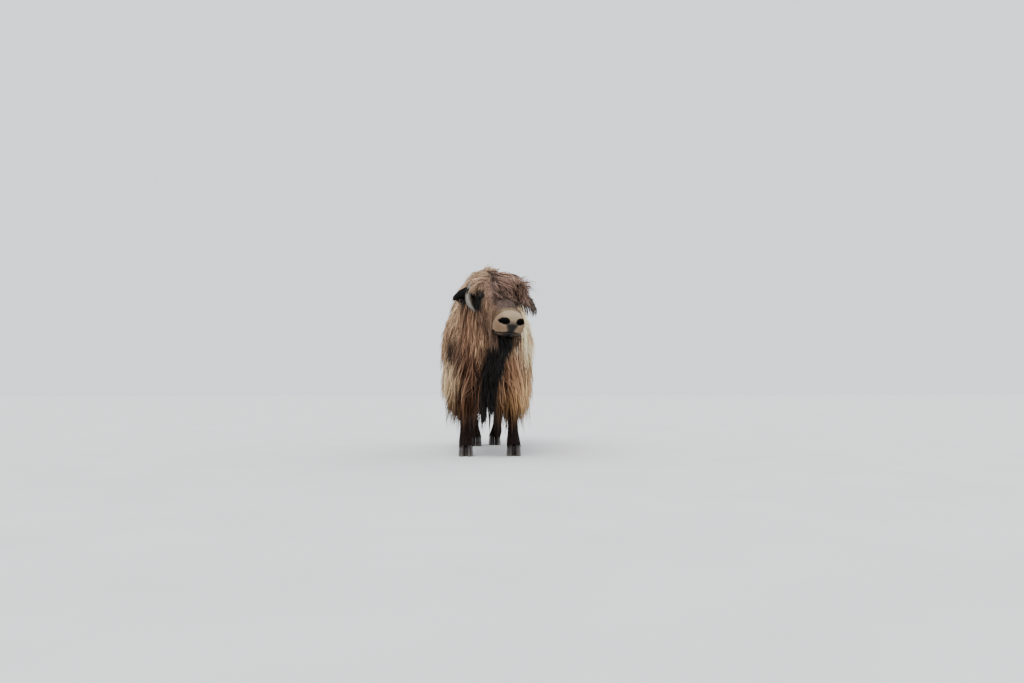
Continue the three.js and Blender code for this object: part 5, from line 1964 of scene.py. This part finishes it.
@dataclass
class CoatPlan:
    """Every stretch of coat, in order."""

    back: CoatStyle = CoatStyle(0.030, 7.5, 0.230, 0.070, 0.0070, spread=0.26, mingle=0.08)
    body: CoatStyle = CoatStyle(
        0.032, 7.6, 0.250, 0.090, 0.0070, steps=6, wave=0.026, flare=0.10, spread=0.28, mingle=0.05,
    )
    tuft: CoatStyle = CoatStyle(0.020, 4.0, 0.095, 0.050, 0.0036, gravity=0.3, stand=50)
    neck: CoatStyle = CoatStyle(
        0.028, 7.6, 0.270, 0.072, 0.0062, steps=6, gravity=0.9, flare=0.06, spread=0.30, mingle=0.03,
    )
    bib: CoatStyle = CoatStyle(0.022, 8.0, 0.240, 0.048, 0.0060, gravity=1.0, clump=0.7)
    brow: CoatStyle = CoatStyle(
        0.025, 10.0, 0.150, 0.038, 0.0048, steps=7, gravity=0.06, clump=0.92, wave=0.07, coils=1.3,
        stand=44, spread=0.42, root=0.30,
    )
    forelock: CoatStyle = CoatStyle(
        0.027, 11.0, 0.205, 0.078, 0.0050, steps=8, gravity=0.14, clump=0.92, wave=0.07, coils=1.4,
        stand=58, spread=0.42, root=0.30,
    )
    temple: CoatStyle = CoatStyle(0.014, 8.0, 0.060, 0.010, 0.0038, steps=4, gravity=0.3, stand=16)
    parting: CoatStyle = CoatStyle(
        0.018, 9.0, 0.120, 0.045, 0.0044, steps=7, gravity=0.25, clump=0.7, stand=40,
    )
    side: CoatStyle = CoatStyle(
        0.020, 9.0, 0.250, 0.100, 0.0050, steps=7, gravity=0.34, clump=0.8, wave=0.06, stand=60,
    )
    cheek: CoatStyle = CoatStyle(
        0.017, 7.2, 0.200, 0.026, 0.0042, steps=6, gravity=0.95, clump=0.65, spread=0.25,
    )
    beard: CoatStyle = CoatStyle(0.014, 8.0, 0.150, 0.016, 0.0040, gravity=1.0)
    face: CoatStyle = CoatStyle(
        0.0078, 8.0, 0.022, 0.0026, 0.0017, steps=3, gravity=0.03, clump=0.3, wave=0.0,
        stand=5, spread=0.05, thick=0.20, root=1.40,
    )
    ear: CoatStyle = CoatStyle(0.009, 4.6, 0.020, 0.004, 0.0028, steps=3, gravity=0.1, clump=0.3, stand=12)
    fringe: CoatStyle = CoatStyle(0.012, 8.0, 0.070, 0.012, 0.0032, steps=4, gravity=0.9, clump=0.5)
    thigh: CoatStyle = CoatStyle(0.026, 5.2, 0.170, 0.040, 0.0070, steps=4, gravity=0.85)
    shank: CoatStyle = CoatStyle(
        0.012, 3.8, 0.030, 0.004, 0.0036, steps=2, gravity=0.1, clump=0.3, wave=0.0, stand=11,
    )
    tail: CoatStyle = CoatStyle(0.018, 9.0, 0.360, 0.075, 0.0060, steps=6, gravity=1.0)

    def coats(self) -> list[Coat]:
        """Returns the stretches of coat."""
        part, made = SkinPart, []
        stretches = {
            "back": (self.back, lambda n, y, z: n > 0.72),
            "shoulder": (self.body, lambda n, y, z: (n <= 0.72) & (y < 0.26) & (z > 0.66)),
            "flank": (self.body, lambda n, y, z: (n <= 0.72) & (y >= 0.26) & (z > 0.70)),
            "skirt": (self.body, lambda n, y, z: (n <= 0.72) & (z <= np.where(y < 0.26, 0.66, 0.70))),
        }
        for name, (style, chosen) in stretches.items():
            for side in Side:
                region = on_side(chosen, side)
                title = f"coat_{name}_{side.name.lower()}"
                seed = 100 + len(made)
                made.append(Coat(title, part.TRUNK, style, seed, region, body_lie, trunk_scale))
        hang = constant_lie(0, 0, -1)
        whole, front, lower, thighs, shanks = (
            lambda r: np.ones(len(r.place), bool),
            lambda r: r.place[:, 1] < 0.05,
            lambda r: (r.normal[:, 2] < -0.25) | (r.unwrap[:, 1] < 0.5),
            lambda r: r.place[:, 2] > 0.32,
            lambda r: (r.place[:, 2] <= 0.36) & (r.place[:, 2] > 0.075),
        )
        made += [
            Coat(f"coat_{name}", stretch, *rest) for name, stretch, *rest in (
                ("tuft", part.TRUNK, self.tuft, 200, tuft_region, constant_lie(0.25, 0.1, 0.4),
                 even, "coat", toned(GOLD, 0.6)),
                ("neck", part.NECK, self.neck, 201, front, neck_lie, neck_scale, "mane"),
                ("bib", part.DEWLAP, self.bib, 202, whole, constant_lie(-0.5, 0, -1),
                 even, "black_hair"),
                # The brow's locks lie under the forelock and take CURL at 0.44: painted shade under the
                # fringe.
                ("brow", part.HEAD, self.brow, 215, parted(0.250), head_lie(1, 0.05, 0, 1.5),
                 crown_scale, "face", toned(CURL * 0.44)),
                ("forelock", part.HEAD, self.forelock, 203, parted(0.14),
                 head_lie(0.9, 0.55, 0.2, 3.0), crown_scale, "face", toned(CURL)),
                ("parting", part.HEAD, self.parting, 204, parted(0.12, -1),
                 head_lie(-0.3, -1.0, 0), even, "mane", toned(GOLD, 0.85)),
                ("temple", part.HEAD, self.temple, 216, temple, head_lie(0.8, -0.6, -0.2),
                 even, "face", toned(CHEEK, 0.3)),
                ("side", part.HEAD, self.side, 205, side_tuft, head_lie(0.15, 1.0, 0.5),
                 even, "face", toned(CURL * 0.85, 0.8)),
                ("cheeks", part.HEAD, self.cheek, 206, on_cheek, hang, cheek_scale, "face"),
                ("beard", part.HEAD, self.beard, 207, on_chin, hang, beard_scale, "black_hair",
                 toned(BLACK)),
                ("face", part.HEAD, self.face, 208, bare_face, head_lie(1, 0, 0, 3.0),
                 fading(down_face, 0.30, 0.41, 0.5, 0.6), "face"),
                ("ears", part.EAR, self.ear, 209, whole, ear_lie, ear_scale, "black_hair"),
                ("ear_fringe", part.EAR, self.fringe, 210, lower, ear_lie, fringe_scale,
                 "black_hair"),
                ("legs_upper", part.LEG, self.thigh, 211, thighs, hang,
                 fading(height_of, 0.46, 0.34, 0.5, 0.5), "leg_hair"),
                ("legs_lower", part.LEG, self.shank, 212, shanks, hang, even, "leg_hair"),
                ("tail", part.TAIL, self.tail, 213, whole, hang,
                 fading(height_of, 0.86, 1.05, 0.55, 0.6), "tail_hair"),
            )
        ]
        return made


@dataclass
class Horn:
    """One horn, swept by Geometry Nodes along its droop, with growth rings.

    Attributes:
        side: The side it grows on.
        radius: Its radius at the root.
    """

    side: Side
    radius: float = 0.024
    line: tuple[Triple, ...] = (
        (0.020, 0.055, 0.044), (0.026, 0.095, 0.034), (0.038, 0.130, 0.004), (0.066, 0.154, -0.042),
        (0.112, 0.162, -0.078), (0.160, 0.152, -0.096), (0.200, 0.132, -0.106),
    )

    def build(self, tree: bpy.types.NodeTree, material: bpy.types.Material) -> Piece:
        """Makes the horn.

        Args:
            tree: The sweep's node tree.
            material: The horn's material.

        Returns:
            The mesh object.
        """
        name = f"horn_{self.side.name.lower()}"
        t = np.linspace(0, 1, 80)
        sign = self.side.value
        places = np.array([HEAD.point(down, sign * left, rise) for down, left, rise in self.line])
        points = along(np.linspace(0, 1, len(places)), places, t) + TO_FRAME
        radii = self.radius * (1.06 - 0.34 * t) * (1 - t**5 * 0.88)
        data = bpy.data.curves.new(f"{name}_line", "CURVE")
        data.dimensions = "3D"
        spline = data.splines.new("POLY")
        spline.points.add(len(points) - 1)
        for point, place, radius in zip(spline.points, points, radii):
            point.co = (*place, 1)
            point.radius = radius
        made = swept(linked(f"{name}_line", data), tree, {"Material": material})
        made.name = f"{name}_sheath"
        line = point_tree(points)
        share = np.array([line.find(v)[1] for v in corners_of(made)]) / (len(points) - 1)
        rings = 0.25 * (np.sin(share * 85) > 0.6) * (share < 0.6)
        dark = (ease(0.70, 1.0, share) * 0.75 + rings)[:, None]
        colour_attribute(made.data, srgb(98, 92, 83) * (1 - dark) + srgb(58, 50, 42) * dark)
        finished(made, [name])
        return made


def swept(
    rail: Piece, tree: bpy.types.NodeTree, inputs: dict[str, object]
) -> Piece:
    """Runs a sweep tree over a rail and keeps the plain mesh.

    Args:
        rail: The curve object, which is removed.
        tree: The node tree.
        inputs: Values for the tree's named inputs.

    Returns:
        The mesh object.
    """
    modifier = rail.modifiers.new("Sweep", "NODES")
    modifier.node_group = tree
    for item in tree.interface.items_tree:
        if item.item_type == "SOCKET" and item.in_out == "INPUT" and item.name in inputs:
            modifier[item.identifier] = inputs[item.name]
    graph = bpy.context.evaluated_depsgraph_get()
    mesh = bpy.data.meshes.new_from_object(rail.evaluated_get(graph))
    made = linked("swept", mesh)
    bpy.data.objects.remove(rail)
    return made


def sweep_tree() -> bpy.types.NodeTree:
    """Builds the tree that sweeps a ringed horn along a curve.

    Returns:
        The node tree, with inputs for its sides, the rings' count and their height.
    """
    tree = bpy.data.node_groups.new("Ringed sweep", "GeometryNodeTree")
    face = tree.interface
    face.new_socket("Geometry", in_out="INPUT", socket_type="NodeSocketGeometry")
    for name, kind, value in (
        ("Sides", "NodeSocketInt", 36),
        ("Rings", "NodeSocketFloat", 26.0),
        ("Ring height", "NodeSocketFloat", 0.0007),
    ):
        face.new_socket(name, in_out="INPUT", socket_type=kind).default_value = value
    face.new_socket("Material", in_out="INPUT", socket_type="NodeSocketMaterial")
    face.new_socket("Geometry", in_out="OUTPUT", socket_type="NodeSocketGeometry")
    node, link = tree.nodes.new, tree.links.new

    def computed(operation: str, *values: object) -> Socket:
        """Returns the result of arithmetic on sockets and numbers."""
        step = node("ShaderNodeMath")
        step.operation = operation
        for slot, value in zip(step.inputs, values):
            if isinstance(value, Socket):
                link(value, slot)
            else:
                slot.default_value = value
        return step.outputs[0]

    given, result = node("NodeGroupInput"), node("NodeGroupOutput")
    captured = node("GeometryNodeCaptureAttribute")
    captured.capture_items.new("FLOAT", "Place")
    link(given.outputs["Geometry"], captured.inputs["Geometry"])
    link(node("GeometryNodeSplineParameter").outputs["Factor"], captured.inputs["Place"])
    circle_node = node("GeometryNodeCurvePrimitiveCircle")
    circle_node.inputs["Radius"].default_value = 1.0
    link(given.outputs["Sides"], circle_node.inputs["Resolution"])
    sweep = node("GeometryNodeCurveToMesh")
    sweep.inputs["Fill Caps"].default_value = True
    link(captured.outputs["Geometry"], sweep.inputs["Curve"])
    link(circle_node.outputs["Curve"], sweep.inputs["Profile Curve"])
    if "Scale" in sweep.inputs:
        link(node("GeometryNodeInputRadius").outputs["Radius"], sweep.inputs["Scale"])
    fading = node("ShaderNodeMapRange")
    fading.inputs["From Min"].default_value = 0.75
    fading.inputs["From Max"].default_value = 0.35
    link(captured.outputs["Place"], fading.inputs["Value"])
    turns = computed("MULTIPLY", captured.outputs["Place"], given.outputs["Rings"])
    wave = computed("SINE", computed("MULTIPLY", turns, 2 * math.pi))
    height = computed("MULTIPLY", wave, given.outputs["Ring height"])
    offset = node("ShaderNodeVectorMath")
    offset.operation = "SCALE"
    link(node("GeometryNodeInputNormal").outputs["Normal"], offset.inputs[0])
    link(computed("MULTIPLY", height, fading.outputs["Result"]), offset.inputs["Scale"])
    stage = sweep.outputs["Mesh"]
    for kind, given_to, source in (
        ("GeometryNodeSetPosition", "Offset", offset.outputs["Vector"]),
        ("GeometryNodeSetShadeSmooth", None, None),
        ("GeometryNodeRealizeInstances", None, None),
        ("GeometryNodeSetMaterial", "Material", given.outputs["Material"]),
    ):
        step = node(kind)
        link(stage, step.inputs["Geometry"])
        if given_to:
            link(source, step.inputs[given_to])
        stage = step.outputs["Geometry"]
    link(stage, result.inputs["Geometry"])
    return tree


@dataclass
class Hoof:
    """A cloven hoof: two claws, ringed by growth and flat underneath."""

    leg: Leg
    rings: int = 22
    sides: int = 40

    def build(self, material: bpy.types.Material) -> Piece:
        """Makes both claws as one piece.

        Args:
            material: The hoof's material.

        Returns:
            The mesh object.
        """
        verts, faces = [], []
        for side in (-1, 1):
            t = np.linspace(0, 1, self.rings)
            ridge = 0.0006 * np.sin(t * 34)
            across = self.leg.x + side * (0.0262 - 0.003 * t)
            centre = np.stack([across, self.leg.y - 0.016 + 0.022 * t, HOOF_HEIGHT * t], axis=1)
            sizes = np.stack([
                0.0258 - 0.003 * t + ridge, 0.052 - 0.008 * t + ridge, 0.065 - 0.016 * t + ridge,
                np.full_like(t, 2.5), np.full_like(t, 2.0),
            ], axis=1)
            right, up = (np.tile(axis, (self.rings, 1)) for axis in (ACROSS, BACK))
            rings = section_points(centre, right, up, sizes, circle(self.sides))
            points, own = Surface(rings).mesh()
            offset = sum(len(v) for v in verts)
            verts.append(points)
            faces += [[c + offset for c in face] for face in own]
        name = f"hoof_{self.leg.name}"
        made = new_object(f"{name}_claws", np.concatenate(verts), faces)
        made.data.shade_smooth()
        height = (np.concatenate(verts)[:, 2] / HOOF_HEIGHT)[:, None]
        pale = np.exp(-((height - 0.05) / 0.12) ** 2) + 0.35 * (np.sin(height * 34) > 0.7)
        worn, fresh = srgb(34, 28, 24), srgb(66, 57, 48)
        colour_attribute(made.data, worn + (fresh - worn) * np.minimum(pale, 1))
        finished(made, [name], material)
        return made


def eyeball(eye: Eye, material: bpy.types.Material) -> Piece:
    """Makes an eyeball with a domed cornea, a brown iris and a long pupil.

    Args:
        eye: The eye.
        material: Its material.

    Returns:
        The mesh object.
    """
    axes = eye.axes()
    verts, faces = ball_surface(eye.centre, EYEBALL_RADIUS, axes, 48, 48).mesh()
    local = (verts - eye.centre) @ axes.T / EYEBALL_RADIUS
    dome = np.exp(-(np.hypot(local[:, 0], local[:, 1]) / 0.55) ** 2) * (local[:, 2] > 0)
    verts = verts + (verts - eye.centre) * (0.03 * dome)[:, None]
    name = f"eye_{eye.side.name.lower()}"
    made = new_object(f"{name}_ball", verts, faces)
    made.data.shade_smooth()
    iris = ease(0.74, 0.68, np.hypot(local[:, 0], local[:, 1])) * (local[:, 2] > 0)
    pupil = ease(0.36, 0.28, np.hypot(local[:, 0], local[:, 1] * 2.1)) * (local[:, 2] > 0)
    colour = srgb(40, 28, 20) * (1 - iris[:, None]) + srgb(24, 13, 7) * iris[:, None]
    colour = colour * (1 - pupil[:, None]) + srgb(6, 5, 6) * pupil[:, None]
    colour_attribute(made.data, colour)
    finished(made, [name], material)
    return made


@dataclass
class Studio:
    """A plain pale floor, soft light and the camera."""

    focal: float = 26.37
    place: Triple = (0.0, -5.59, 0.46)
    pitch: float = 3.70
    yaw: float = -1.87

    def build(self) -> None:
        """Makes the floor, the lights, the sky and the camera."""
        corners = np.array([[-1, -1, 0], [1, -1, 0], [1, 1, 0], [-1, 1, 0]]) * 60.0
        floor = new_object("floor", corners, [[0, 1, 2, 3]])
        colour_attribute(floor.data, np.full((4, 3), 0.66))
        pale = Finish("pale_floor")
        pale.coloured(pale.ranged(pale.noise(pale.place(), (2.0, 2.0, 2.0), 4.0), 0.97, 1.03))
        pale.shader.inputs["Roughness"].default_value = 0.9
        floor.data.materials.append(pale.material)
        self.sun((38, 0, -28), 2.8, 45)
        self.sun((60, 0, 125), 0.9, 60)
        world = bpy.data.worlds.new("sky")
        bpy.context.scene.world = world
        world.use_nodes = True
        sky = world.node_tree.nodes["Background"].inputs
        sky["Color"].default_value = (0.90, 0.93, 0.97, 1)
        sky["Strength"].default_value = 1.5
        data = bpy.data.cameras.new("camera")
        data.lens, data.sensor_width = self.focal, 36.0
        data.clip_start, data.clip_end = 0.05, 200
        camera = linked("camera", data)
        camera.location = self.place
        camera.rotation_euler = (math.radians(90 + self.pitch), 0, math.radians(self.yaw))
        bpy.context.scene.camera = camera

    @staticmethod
    def sun(turn: Triple, strength: float, softness: float) -> None:
        """Adds light from one side of an overcast sky.

        Args:
            turn: Its rotation in degrees.
            strength: Its strength.
            softness: The angle that it fills, in degrees.
        """
        data = bpy.data.lights.new("soft_sun", "SUN")
        data.energy, data.angle = strength, math.radians(softness)
        lamp = linked("soft_sun", data)
        lamp.rotation_euler = [math.radians(angle) for angle in turn]


def main() -> None:
    """Builds the dressed animal and its studio."""
    logging.basicConfig(level=logging.INFO, format="%(name)s: %(message)s")
    Studio().build()
    hide = Hide()
    hide.build(SkinFinish().material)
    horn, tree = HornFinish("horn", (90.0, 90.0, 25.0), 0.45).material, sweep_tree()
    hide.add([Horn(side).build(tree, horn) for side in Side])
    claw = HornFinish("hoof", (140.0, 140.0, 30.0), 0.5).material
    for leg in LEGS:
        Hoof(leg).build(claw)
    wet = EyeFinish().material
    for eye in EYES:
        eyeball(eye, wet)
    hair = HairFinish().material
    total = 0
    for coat in CoatPlan().coats():
        piece = coat.grow(hide, hair)
        total += len(piece.data.loops) - 2 * len(piece.data.polygons)
    log.info("coat triangles: %d", total)


if __name__ == "__main__":
    main()
